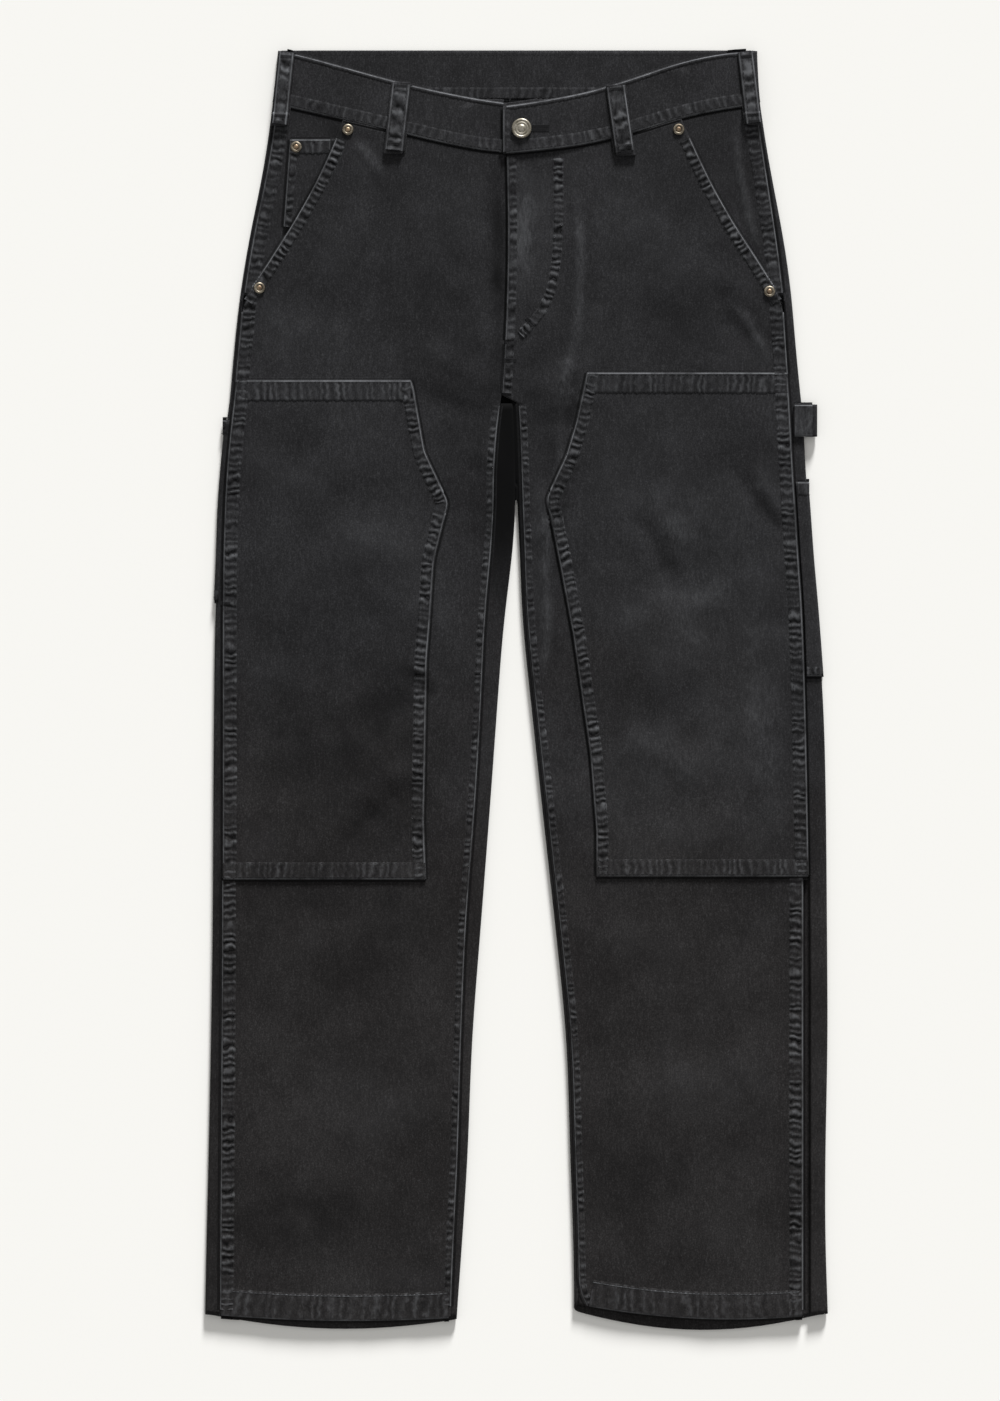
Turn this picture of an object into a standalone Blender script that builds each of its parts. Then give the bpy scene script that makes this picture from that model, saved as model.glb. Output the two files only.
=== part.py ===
# Carpenter trousers laid flat, front side up. Each cut and sewn piece is its own closed solid.
#
# Sizes are in millimetres and become metres through MM.
# drop is the distance down from the top edge of the back waistband.
# out is the distance from the centre line towards a side seam, counted the same way on both legs.
# The wearer's left leg lies on +X, the wearer's right leg on -X, and the waist points to +Y.
# The underside rests on the plane Z = 0.

import math

import bmesh
import bpy
from mathutils import Vector

MM = 0.001

# Driving dimensions
GARMENT_LENGTH = 1088.0
CLOTH = 1.2
HEM_CLOTH = 2.2
HEM_DEPTH = 18.0
BAND_CLOTH = 2.6
SEAM_GAP = 0.3
LAYER_GAP = 0.4
BACK_BAND_GAP = 0.9
HOLLOW = 2.6
LOFT = 0.9

# The front layer, as the height of the middle of its wall
FRONT_MID = CLOTH + HOLLOW + CLOTH / 2
BAND_MID = 4.5

# How the front layer swells: flat at the waist and the folds, with one hill over the hips and one a leg below
SWELL_START = 60.0
SWELL_FULL = 180.0
LEG_SPLIT_START = 230.0
LEG_SPLIT_FULL = 400.0
FLAT_EDGE = 0.12

# How far a lifted layer stays lifted beside what is under it, and the length in which it comes down
LAYER_LIFT = CLOTH + SEAM_GAP
LIFT_HOLD = 15.0
LIFT_MARGIN = 4.0
LIFT_FADE = 32.0

# Zones along the garment
SIDE_WAIST = 48.0
BACK_WAIST = 41.5
WAIST_ZONE = 140.0
CROTCH = 293.0
FORK_TOP = 300.0
HEM_ZONE = 1000.0
HEM_EDGE = 1072.0
ROW_STEP = 36.0

# The fly: the left front and the left waistband end lie over the right ones
FLY_UNDERLAP = 26.0
FLY_BOTTOM = 238.0
BAND_UNDERLAP = 28.0

# Hardware
BUTTON_RADIUS = 8.5
BUTTON_HEIGHT = 3.0
BUTTON_PLACE = {"out": 4.3, "drop": 67.2}
BUTTON_SIDES = 24
RIVET_RADIUS = 4.8
RIVET_HEIGHT = 1.5
RIVET_SIDES = 14

# Straps
LOOP_CLOTH = 1.4
LOOP_TAB_CLOTH = 2.4
LOOP_TAB = 9.0
LOOP_ARCH = 0.7
LOOP_TAB_SINK = 0.5
HAMMER_CLOTH = 1.8

# How finely each piece is divided
FOLD_STEPS = 4
PANEL_PARTS = 10
UNDER_PARTS = 4
PATCH_PARTS = 8
POCKET_PARTS = 4
BAND_PARTS = 3
BAND_STEP = 16.0
BACK_BAND_PARTS = 8
STRAP_STEP = 10.0


def table(columns, *rows):
    names = columns.split()
    return [dict(zip(names, row)) for row in rows]


# Flat sections of each leg.
# Above the crotch, inseam is the front's centre edge and inner is the back's centre seam.
SECTIONS = {
    "right": table(
        "drop  outer  outseam inseam inner",
        (0,    202.7, 199.4,   8.3,   5.5),
        (50,   207.4, 204.0,   8.3,   5.5),
        (100,  214.5, 211.2,   8.0,   5.5),
        (150,  225.2, 221.9,   7.3,   5.5),
        (200,  233.8, 230.5,   8.0,   5.5),
        (250,  239.6, 236.2,   9.8,   5.0),
        (293,  243.2, 239.9,  12.6,   3.2),
        (320,  246.9, 243.5,  16.2,   1.6),
        (350,  249.7, 246.3,  18.7,   0.8),
        (385,  252.4, 248.4,  18.9,   0.5),
        (430,  253.9, 249.8,  21.7,   3.4),
        (480,  256.0, 250.3,  26.4,  10.0),
        (560,  257.1, 250.3,  30.2,  16.3),
        (640,  257.7, 250.3,  34.9,  22.1),
        (740,  258.2, 250.3,  42.5,  29.8),
        (840,  259.7, 250.8,  46.8,  37.4),
        (940,  261.7, 251.3,  49.7,  41.4),
        (1010, 263.4, 251.8,  53.1,  45.9),
        (1072, 264.6, 252.0,  55.7,  50.6),
        (1090, 264.6, 252.0,  56.5,  51.5),
    ),
    "left": table(
        "drop  outer  outseam inseam inner",
        (0,    204.4, 201.0,  -8.3,  -5.1),
        (50,   207.2, 203.8,  -8.3,  -5.1),
        (100,  215.3, 211.6,  -8.0,  -5.1),
        (150,  225.2, 219.3,  -7.3,  -5.1),
        (200,  232.9, 226.0,  -8.0,  -5.1),
        (250,  237.2, 228.8,  -9.8,  -4.6),
        (293,  241.4, 232.1, -12.6,  -2.7),
        (300,  242.2, 232.4,   1.4,  -2.2),
        (320,  244.2, 233.6,   2.6,  -1.1),
        (350,  245.2, 235.0,   3.8,  -0.4),
        (385,  248.0, 237.3,   4.8,   0.4),
        (430,  251.2, 240.1,   6.7,   2.9),
        (480,  255.6, 243.4,   8.5,   4.6),
        (560,  261.0, 246.1,  16.6,  12.8),
        (640,  263.0, 247.8,  25.2,  21.3),
        (740,  263.9, 249.3,  36.2,  32.3),
        (840,  264.4, 249.5,  46.0,  42.1),
        (940,  262.6, 249.5,  49.4,  45.5),
        (1010, 262.6, 249.5,  51.8,  48.0),
        (1072, 264.6, 249.5,  52.6,  48.9),
        (1090, 264.6, 249.5,  52.8,  49.2),
    ),
}

# Hem edges, as drops at the inner fold, the middle and the outer fold
HEMS = {
    "right": {"front": (1076.0, 1078.5, 1073.0), "back": (1078.0, 1086.5, 1073.0)},
    "left": {"front": (1064.0, 1077.0, 1072.5), "back": (1071.0, 1088.0, 1072.0)},
}

# Front waistband edges
BANDS = {
    "right": table(
        "out  top   bottom",
        (-28, 46.6, 84.0),
        (0,   45.6, 86.0),
        (13,  45.0, 87.6),
        (60,  36.5, 79.5),
        (104, 26.4, 69.0),
        (153, 12.8, 58.0),
        (196, 1.6,  48.0),
        (210, 1.0,  46.0),
    ),
    "left": table(
        "out  top   bottom",
        (-30, 49.5, 90.0),
        (-11, 48.2, 88.4),
        (8,   46.0, 86.9),
        (47,  39.0, 82.4),
        (76,  31.5, 76.5),
        (106, 22.0, 68.5),
        (136, 11.5, 59.0),
        (174, 3.2,  50.5),
        (196, 1.6,  47.6),
        (210, 1.0,  46.0),
    ),
}
BAND_SIDE_SEAM = 196.0
BAND_END = {"right": -BAND_UNDERLAP, "left": -11.5}

# Slanted pocket mouths, from the waistband down to the outseam
MOUTHS = {
    "right": table(
        "drop  out",
        (40,   140.5),
        (60,   147.5),
        (79,   154.7),
        (116,  172.0),
        (153,  193.2),
        (175,  207.2),
        (197,  222.3),
        (240,  252.0),
    ),
    "left": table(
        "drop  out",
        (40,   132.5),
        (64,   142.4),
        (109,  163.3),
        (132,  175.3),
        (155,  189.5),
        (180,  205.9),
        (200,  218.4),
        (240,  243.5),
    ),
}
MOUTH_END = 212.0
FACING_UNDERLAP = 10.0
FACING_END = 208.0

COIN_POCKET = table(
    "drop  out",
    (76.0,  192.3),
    (151.0, 197.8),
)

# Free edges of the knee patches; their other edge lies along the outseam
PATCH_INSET = 1.0
PATCHES = {
    "right": table(
        "drop  out",
        (280.5, 89.5),
        (285.0, 87.8),
        (341.0, 77.8),
        (384.0, 57.7),
        (434.0, 70.1),
        (484.0, 73.5),
        (518.0, 76.1),
        (654.0, 78.6),
        (704.0, 77.0),
    ),
    "left": table(
        "drop  out",
        (274.0, 59.8),
        (316.0, 50.6),
        (344.0, 42.1),
        (380.5, 25.4),
        (438.0, 37.0),
        (497.0, 48.0),
        (598.0, 62.5),
        (663.0, 67.6),
        (701.5, 67.6),
    ),
}

# Large soft folds of the front layer, from end a to end b; a trough has a negative height
FOLDS = {
    "right": table(
        "drop_a out_a drop_b out_b spread height",
        (250,   60,   420,   40,   26,    0.5),
        (430,   215,  520,   120,  30,   -0.5),
        (560,   90,   650,   200,  30,    0.5),
        (600,   70,   700,   120,  28,   -0.5),
        (860,   220,  930,   90,   34,   -0.4),
    ),
    "left": table(
        "drop_a out_a drop_b out_b spread height",
        (180,   58,   420,   32,   24,    0.6),
        (300,   60,   420,   48,   26,   -0.5),
        (560,   60,   640,   190,  30,    0.5),
        (620,   200,  720,   110,  30,   -0.5),
        (880,   90,   960,   210,  34,   -0.4),
    ),
}

LOOPS = table(
    "name         leg      top_drop top_out bottom_drop bottom_out width",
    ("front_right", "right",  27.5,   98.0,   88.5,      104.8,     16.0),
    ("front_left",  "left",   30.0,   84.2,   90.0,      92.8,      16.5),
    ("side_right",  "right",   2.5,  195.0,   64.5,      201.4,     12.6),
    ("side_left",   "left",    2.5,  194.2,   63.8,      201.4,     12.8),
)

RIVETS = table(
    "name      leg      out    drop   on",
    ("rivet_1", "right", 143.0,  67.9, "front"),
    ("rivet_2", "right", 186.9,  82.6, "coin"),
    ("rivet_3", "right", 218.0, 202.2, "front"),
    ("rivet_4", "left",  137.6,  67.7, "front"),
    ("rivet_5", "left",  214.6, 205.2, "front"),
)

HAMMER = {"top": 301.0, "bottom": 328.0, "start": 235.2, "reach": 255.4, "end": 245.6}

TOOL_POCKETS = {
    "right": {"top": 314.0, "bottom": 467.0, "flat_parts": 0},
    "left": {"top": 366.4, "bottom": 532.0, "flat_parts": 2},
}
TOOL_POCKET_INSET = 0.8
TOOL_POCKET_TURN = math.radians(-34)

SIDE = {"right": -1, "left": 1}


# Reading the tables

def bracket(rows, key, at):
    for low, high in zip(rows, rows[1:]):
        if at <= high[key]:
            return low, high
    return rows[-2], rows[-1]


def straight(rows, key, column, at):
    low, high = bracket(rows, key, at)
    share = (at - low[key]) / (high[key] - low[key])
    return low[column] + (high[column] - low[column]) * share


def slope(rows, index, key, column):
    low = rows[max(index - 1, 0)]
    high = rows[min(index + 1, len(rows) - 1)]
    return (high[column] - low[column]) / (high[key] - low[key])


def curved(rows, key, column, at):
    low, high = bracket(rows, key, at)
    index = rows.index(low)
    span = high[key] - low[key]
    t = min(max((at - low[key]) / span, 0.0), 1.0)
    start = slope(rows, index, key, column) * span
    end = slope(rows, index + 1, key, column) * span
    t2 = t * t
    t3 = t2 * t
    return (low[column] * (2 * t3 - 3 * t2 + 1) + start * (t3 - 2 * t2 + t)
            + high[column] * (3 * t2 - 2 * t3) + end * (t3 - t2))


def mix(a, b, share):
    return a + (b - a) * share


def ease(value):
    t = min(max(value, 0.0), 1.0)
    return t * t * (3 - 2 * t)


def section(leg, column, drop):
    rows = SECTIONS[leg]
    # The fork is a corner, so the rows beside it are read straight
    if column == "inseam" and FLY_BOTTOM < drop < FORK_TOP + 20:
        return straight(rows, "drop", column, drop)
    return curved(rows, "drop", column, drop)


def mouth(leg, drop):
    return curved(MOUTHS[leg], "drop", "out", drop)


def waist_seam(leg, out):
    return curved(BANDS[leg], "out", "bottom", out)


def hem_edge(leg, layer, share):
    inner, middle, outer = HEMS[leg][layer]
    ends = mix(inner, outer, share)
    bulge = middle - (inner + outer) / 2
    return ends + bulge * 4 * share * (1 - share)


def across(leg, drop, out):
    # 0 at the inner fold or the centre line, 1 at the outer fold
    inner = section(leg, "inner", drop)
    outer = section(leg, "outer", drop)
    return min(max((out - inner) / (outer - inner), 0.0), 1.0)


def row_drop(leg, row, out, under=0.0, gap=SEAM_GAP):
    # A row's own drop at this place: the first rows follow the waist seam and the last ones the hem
    if row < WAIST_ZONE:
        seam = mix(waist_seam(leg, out), BACK_WAIST, under) + gap
        share = (row - SIDE_WAIST) / (WAIST_ZONE - SIDE_WAIST)
        return mix(seam, WAIST_ZONE, share)
    if row > HEM_ZONE:
        share = across(leg, HEM_EDGE, out)
        edge = mix(hem_edge(leg, "front", share), hem_edge(leg, "back", share), under)
        return mix(HEM_ZONE, edge, (row - HEM_ZONE) / (HEM_EDGE - HEM_ZONE))
    return row


# Heights of the front layer

def fold_height(leg, drop, out):
    total = 0.0
    for fold in FOLDS[leg]:
        along_drop = fold["drop_b"] - fold["drop_a"]
        along_out = fold["out_b"] - fold["out_a"]
        length = math.hypot(along_drop, along_out)
        from_drop = drop - fold["drop_a"]
        from_out = out - fold["out_a"]
        along = (from_drop * along_drop + from_out * along_out) / length ** 2
        off = (from_drop * along_out - from_out * along_drop) / length
        beyond = max(abs(along - 0.5) - 0.25, 0.0) / 0.5
        fade = 1 - ease(beyond)
        total += fold["height"] * fade * math.exp(-(off / fold["spread"]) ** 2)
    return total


def front_height(leg, drop, out):
    share = across(leg, drop, out)
    outer = section(leg, "outer", drop)
    hip = math.cos(math.pi / 2 * min(abs(out) / outer, 1.0))
    thigh = math.sin(math.pi * share)
    split = ease((drop - LEG_SPLIT_START) / (LEG_SPLIT_FULL - LEG_SPLIT_START))
    swell = ease((drop - SWELL_START) / (SWELL_FULL - SWELL_START))
    dome = mix(hip, thigh, split) * swell
    nearest = min(share, 1 - share) if drop > CROTCH else 1 - share
    return FRONT_MID + LOFT * dome + fold_height(leg, drop, out) * ease(nearest / FLAT_EDGE)


def front_edge(leg, drop):
    return min(mouth(leg, drop), section(leg, "outseam", drop))


def panel_height(leg, drop, out):
    # The front panel stands over the facing at the pocket mouth, and the left one over the fly shield
    beside = held(front_edge(leg, drop) - out, LIFT_HOLD)
    lift = LAYER_LIFT * beside * held(drop, MOUTH_END + LIFT_MARGIN)
    if leg == "left":
        over_shield = held(out, FLY_UNDERLAP + LIFT_MARGIN) * held(drop, FLY_BOTTOM + LIFT_MARGIN)
        lift = max(lift, LAYER_LIFT * over_shield)
    return front_height(leg, drop, out) + lift


def held(distance, hold):
    # 1 up to hold, and from there down to 0
    return 1 - ease((distance - hold) / LIFT_FADE)


def band_height(leg, out):
    if leg == "right":
        return BAND_MID
    return BAND_MID + (BAND_CLOTH + SEAM_GAP) * held(out, BAND_UNDERLAP + LIFT_MARGIN)


# Building

def place(leg, out, drop, height):
    return Vector((SIDE[leg] * out * MM, (GARMENT_LENGTH / 2 - drop) * MM, height * MM))


def plain_material(name, colour, roughness, metallic=0.0):
    material = bpy.data.materials.new(name)
    material.use_nodes = True
    shader = material.node_tree.nodes["Principled BSDF"]
    shader.inputs["Base Color"].default_value = (*colour, 1.0)
    shader.inputs["Roughness"].default_value = roughness
    shader.inputs["Metallic"].default_value = metallic
    return material


def add_object(name, mesh, material):
    body = bpy.data.objects.new(name, mesh)
    mesh.materials.append(material)
    bpy.context.scene.collection.objects.link(body)
    return body


def sheet(name, grid, thickness, material, keep=None):
    # A wall of cloth round a grid of points; thickness is a number, or one for each row of the grid
    walls = thickness if isinstance(thickness, list) else [thickness] * len(grid)
    widest = max(walls)
    shape = bmesh.new()
    layer = shape.verts.layers.deform.verify()
    points = [[shape.verts.new(point) for point in row] for row in grid]
    for i in range(len(grid) - 1):
        for j in range(len(grid[0]) - 1):
            if keep is None or keep(i, j):
                shape.faces.new((points[i][j], points[i][j + 1], points[i + 1][j + 1], points[i + 1][j]))
    for row, wall in zip(points, walls):
        for point in row:
            point[layer][0] = wall / widest
    loose = [point for row in points for point in row if not point.link_faces]
    bmesh.ops.delete(shape, geom=loose, context="VERTS")
    mesh = bpy.data.meshes.new(name)
    shape.to_mesh(mesh)
    shape.free()
    body = add_object(name, mesh, material)
    body.vertex_groups.new(name="wall")
    solid = body.modifiers.new("wall", "SOLIDIFY")
    solid.thickness = widest * MM
    solid.offset = 0.0
    solid.use_even_offset = True
    solid.use_quality_normals = True
    solid.vertex_group = "wall"
    return body


def fill(keys, step):
    # The keys, with the space between two of them divided evenly in parts no longer than step
    rows = []
    for low, high in zip(keys, keys[1:]):
        parts = max(1, math.ceil((high - low) / step))
        rows += [mix(low, high, part / parts) for part in range(parts)]
    return rows + [keys[-1]]


def panel_rows():
    hem_fold = HEM_EDGE - HEM_DEPTH
    keys = [SIDE_WAIST, MOUTH_END, CROTCH, FORK_TOP, 320.0, hem_fold - 1, hem_fold + 1, HEM_EDGE]
    return fill(keys, ROW_STEP)


def wall_at(row):
    return HEM_CLOTH if row > HEM_EDGE - HEM_DEPTH else CLOTH


def front_panel(leg, material):
    parts = PANEL_PARTS
    grid = []
    for row in panel_rows():
        outer = front_edge(leg, row)
        for _ in range(3):
            outer = front_edge(leg, row_drop(leg, row, outer))
        outer -= SEAM_GAP / 2
        inner = section(leg, "inseam", row) + SEAM_GAP / 2
        line = []
        for part in range(parts + 1):
            out = mix(outer, inner, part / parts)
            drop = row_drop(leg, row, out)
            line.append(place(leg, out, drop, panel_height(leg, drop, out)))
        grid.append(line)
    return sheet("front_" + leg, grid, [wall_at(row) for row in panel_rows()], material)


def fold_circle(leg, drop, wall):
    # The round of the outer fold through the middle of the back panel's wall: its centre and its radius
    outer = section(leg, "outer", drop)
    radius = (front_height(leg, drop, outer) - wall / 2) / 2
    return outer - wall / 2 - radius, wall / 2 + radius, radius


def arc(centre_out, centre_height, radius, start, end):
    line = []
    for step in range(FOLD_STEPS + 1):
        angle = mix(start, end, step / FOLD_STEPS)
        line.append((centre_out + radius * math.cos(angle), centre_height + radius * math.sin(angle)))
    return line


def outer_wrap(leg, drop, wall):
    # From the outseam round the outer fold to the underside, as out, height and how far it has turned under
    centre_out, centre_height, radius = fold_circle(leg, drop, wall)
    seam = section(leg, "outseam", drop) + SEAM_GAP / 2
    line = []
    for part in range(2):
        out = mix(seam, centre_out, part / 2)
        line.append((out, front_height(leg, drop, out), 0.0))
    turned = arc(centre_out, centre_height, radius, math.pi / 2, -math.pi / 2)
    return line + [(out, height, step / FOLD_STEPS) for step, (out, height) in enumerate(turned)]


def inner_wrap(leg, drop, wall):
    # From the flat underside round the inner fold to the inseam
    inner = section(leg, "inner", drop)
    top = front_height(leg, drop, inner)
    radius = (top - wall / 2) / 2
    centre_out = inner + wall / 2 + radius
    centre_height = wall / 2 + radius
    seam = section(leg, "inseam", drop) - SEAM_GAP / 2
    line = []
    for step in range(FOLD_STEPS + 1):
        angle = mix(-math.pi / 2, math.pi / 2, step / FOLD_STEPS)
        line.append((centre_out - radius * math.cos(angle),
                     centre_height + radius * math.sin(angle), 1 - step / FOLD_STEPS))
    for part in (1, 2):
        out = mix(centre_out, seam, part / 2)
        line.append((out, front_height(leg, drop, out), 0.0))
    return line


def back_panel(leg, material):
    grid = []
    walls = []
    rows = panel_rows()
    for row in rows:
        wall = wall_at(row)
        line = outer_wrap(leg, row, wall)
        last = inner_wrap(leg, max(row, FORK_TOP), wall)
        start = line[-1][0]
        if row < FORK_TOP:
            end = section(leg, "inner", row) + SEAM_GAP / 2
        else:
            end = last[0][0]
        for part in range(1, UNDER_PARTS + 1):
            line.append((mix(start, end, part / UNDER_PARTS), wall / 2, 1.0))
        line += last[1:]
        grid.append([place(leg, out, row_drop(leg, row, out, under, BACK_BAND_GAP), height)
                     for out, height, under in line])
        walls.append(wall)
    fork = rows.index(FORK_TOP)
    # The columns past the flat underside exist only below the fork
    flat_end = 2 + FOLD_STEPS + UNDER_PARTS
    return sheet("back_" + leg, grid, walls, material,
                 keep=lambda i, j: j < flat_end or i >= fork)


def front_band(leg, material):
    lap = BAND_UNDERLAP + LIFT_MARGIN
    grid = []
    for out in fill([BAND_END[leg], lap, lap + LIFT_FADE, BAND_SIDE_SEAM - SEAM_GAP / 2], BAND_STEP):
        top = curved(BANDS[leg], "out", "top", out)
        bottom = waist_seam(leg, out)
        grid.append([place(leg, out, mix(top, bottom, part / BAND_PARTS), band_height(leg, out))
                     for part in range(BAND_PARTS + 1)])
    return sheet("waistband_front_" + leg, grid, BAND_CLOTH, material)


def band_side(leg, drop):
    # The side of the back waistband, from its seam on top round the fold to the underside
    outer = section(leg, "outer", drop)
    radius = (BAND_MID - BAND_CLOTH / 2) / 2
    centre_out = outer - BAND_CLOTH / 2 - radius
    centre_height = BAND_CLOTH / 2 + radius
    line = [(BAND_SIDE_SEAM + SEAM_GAP / 2, BAND_MID, 0.0)]
    for step in range(FOLD_STEPS + 1):
        angle = mix(math.pi / 2, -math.pi / 2, step / FOLD_STEPS)
        line.append((centre_out + radius * math.cos(angle),
                     centre_height + radius * math.sin(angle), step / FOLD_STEPS))
    return line


def back_band(material):
    lines = []
    for part in range(BAND_PARTS + 1):
        share = part / BAND_PARTS
        points = {}
        for leg in SIDE:
            points[leg] = []
            for out, height, under in band_side(leg, SIDE_WAIST * share):
                top = mix(curved(BANDS[leg], "out", "top", out), 0.0, under)
                bottom = mix(waist_seam(leg, out), BACK_WAIST, under)
                points[leg].append(place(leg, out, mix(top, bottom, share), height))
        start = points["right"][-1]
        end = points["left"][-1]
        between = [start.lerp(end, step / BACK_BAND_PARTS) for step in range(1, BACK_BAND_PARTS)]
        lines.append(points["right"] + between + points["left"][::-1])
    return sheet("waistband_back", lines, BAND_CLOTH, material)


def fly_shield(material):
    # The underlap of the right front, under the left front; its top meets the right waistband's end
    parts = POCKET_PARTS
    grid = []
    for row in fill([SIDE_WAIST, WAIST_ZONE, FLY_BOTTOM], ROW_STEP):
        edge = section("left", "inseam", row) + SEAM_GAP / 2
        line = []
        for part in range(parts + 1):
            out = mix(edge, FLY_UNDERLAP, part / parts)
            drop = row_drop("right", row, -out, gap=LAYER_GAP)
            line.append(place("left", out, drop, front_height("left", drop, out)))
        grid.append(line)
    return sheet("fly_shield", grid, CLOTH, material)


def pocket_facing(leg, material):
    parts = POCKET_PARTS
    grid = []
    for row in fill([SIDE_WAIST, FACING_END], ROW_STEP):
        inner = mouth(leg, row)
        for _ in range(3):
            inner = mouth(leg, row_drop(leg, row, inner))
        inner -= FACING_UNDERLAP
        outer = section(leg, "outseam", row) - SEAM_GAP / 2
        line = []
        for part in range(parts + 1):
            out = mix(outer, inner, part / parts)
            drop = row_drop(leg, row, out)
            line.append(place(leg, out, drop, front_height(leg, drop, out)))
        grid.append(line)
    return sheet("pocket_facing_" + leg, grid, CLOTH, material)


def coin_pocket(material):
    parts = POCKET_PARTS
    grid = []
    for drop in fill([row["drop"] for row in COIN_POCKET], ROW_STEP / 2):
        free = straight(COIN_POCKET, "drop", "out", drop)
        inner = mouth("right", drop) + SEAM_GAP
        line = []
        for part in range(parts + 1):
            out = mix(free, inner, part / parts)
            line.append(place("right", out, drop, coin_height(drop, out)))
        grid.append(line)
    return sheet("coin_pocket", grid, CLOTH, material)


def coin_height(drop, out):
    return front_height("right", drop, out) + CLOTH + LAYER_GAP


def knee_patch(leg, material):
    edge = PATCHES[leg]
    grid = []
    for drop in fill([row["drop"] for row in edge], ROW_STEP):
        free = straight(edge, "drop", "out", drop)
        outer = section(leg, "outseam", drop) - PATCH_INSET
        line = []
        for part in range(PATCH_PARTS + 1):
            out = mix(outer, free, part / PATCH_PARTS)
            line.append(place(leg, out, drop, panel_height(leg, drop, out) + CLOTH + LAYER_GAP))
        grid.append(line)
    return sheet("knee_patch_" + leg, grid, CLOTH, material)


def belt_loop(loop, material):
    leg = loop["leg"]
    top = loop["top_drop"]
    bottom = loop["bottom_drop"]
    seat = BAND_MID + BAND_CLOTH / 2 + SEAM_GAP
    grid = []
    walls = []
    tab = bottom - LOOP_TAB
    for drop in fill([top, top + LOOP_TAB, tab - 1, tab, bottom], STRAP_STEP):
        share = (drop - top) / (bottom - top)
        middle = mix(loop["top_out"], loop["bottom_out"], share)
        folded = drop >= tab
        wall = LOOP_TAB_CLOTH if folded else LOOP_CLOTH
        arch = LOOP_ARCH * math.sin(math.pi * share)
        # The folded tab lies on the panel below the waistband
        on_panel = max(panel_height(leg, edge, middle) for edge in (tab, bottom))
        rest = on_panel + CLOTH / 2 + SEAM_GAP if folded else seat
        height = max(rest, seat - LOOP_TAB_SINK) + wall / 2 + arch
        grid.append([place(leg, middle + loop["width"] * offset, drop, height)
                     for offset in (-0.5, 0.0, 0.5)])
        walls.append(wall)
    return sheet("belt_loop_" + loop["name"], grid, walls, material)


def hammer_loop(material):
    leg = "left"
    wall = HAMMER_CLOTH
    low = wall / 2
    grid = []
    turns = FOLD_STEPS * 2
    for drop in fill([HAMMER["top"], HAMMER["bottom"]], STRAP_STEP):
        high = front_height(leg, drop, HAMMER["start"]) + CLOTH / 2 + LAYER_GAP + wall / 2
        radius = (high - low) / 2
        centre = HAMMER["reach"] - wall / 2 - radius
        line = [place(leg, mix(HAMMER["start"], centre, part / 3), drop, high) for part in range(3)]
        for step in range(turns + 1):
            angle = mix(math.pi / 2, -math.pi / 2, step / turns)
            line.append(place(leg, centre + radius * math.cos(angle), drop,
                              low + radius + radius * math.sin(angle)))
        line.append(place(leg, mix(centre, HAMMER["end"], 0.5), drop, low))
        line.append(place(leg, HAMMER["end"], drop, low))
        grid.append(line)
    return sheet("hammer_loop", grid, wall, material)


def tool_pocket(leg, material):
    # Sewn in at the outseam and carried round the outer fold, on the back panel
    size = TOOL_POCKETS[leg]
    flat_parts = size["flat_parts"]
    lift = CLOTH + LAYER_GAP
    grid = []
    for drop in fill([size["top"], size["bottom"]], ROW_STEP / 2):
        centre_out, centre_height, radius = fold_circle(leg, drop, CLOTH)
        seam = section(leg, "outseam", drop) + SEAM_GAP / 2 + TOOL_POCKET_INSET
        reach = radius + lift
        start = math.acos(max(0.0, (seam - centre_out) / reach))
        line = []
        for part in range(flat_parts):
            out = mix(seam, centre_out, part / flat_parts)
            line.append((out, front_height(leg, drop, out) + lift))
        line += arc(centre_out, centre_height, reach, start, TOOL_POCKET_TURN)
        grid.append([place(leg, out, drop, height) for out, height in line])
    return sheet("tool_pocket_" + leg, grid, CLOTH, material)


def turned(name, profile, steps, material):
    # A round piece turned from radius and height pairs that start and end on its axis
    shape = bmesh.new()
    line = [shape.verts.new((radius * MM, 0.0, height * MM)) for radius, height in profile]
    edges = [shape.edges.new(pair) for pair in zip(line, line[1:])]
    bmesh.ops.spin(shape, geom=line + edges, cent=(0, 0, 0), axis=(0, 0, 1),
                   angle=2 * math.pi, steps=steps, use_merge=True)
    bmesh.ops.remove_doubles(shape, verts=shape.verts, dist=0.00001)
    bmesh.ops.recalc_face_normals(shape, faces=shape.faces)
    mesh = bpy.data.meshes.new(name)
    shape.to_mesh(mesh)
    shape.free()
    mesh.shade_smooth()
    mesh.set_sharp_from_angle(angle=math.radians(35))
    return add_object(name, mesh, material)


def button(material):
    # A tack button: shank, rolled rim, a dished ring and a raised centre
    rim = BUTTON_RADIUS
    high = BUTTON_HEIGHT
    body = turned("button", [
        (0.0, 0.0),
        (rim * 0.45, 0.0),
        (rim * 0.45, high * 0.3),
        (rim * 0.94, high * 0.4),
        (rim, high * 0.62),
        (rim * 0.94, high * 0.9),
        (rim * 0.8, high * 0.98),
        (rim * 0.7, high * 0.8),
        (rim * 0.45, high * 0.78),
        (rim * 0.3, high * 0.95),
        (0.0, high),
    ], BUTTON_SIDES, material)
    leg = "left"
    seat = band_height(leg, BUTTON_PLACE["out"]) + BAND_CLOTH / 2 + SEAM_GAP
    body.location = place(leg, BUTTON_PLACE["out"], BUTTON_PLACE["drop"], seat)
    return body


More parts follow.
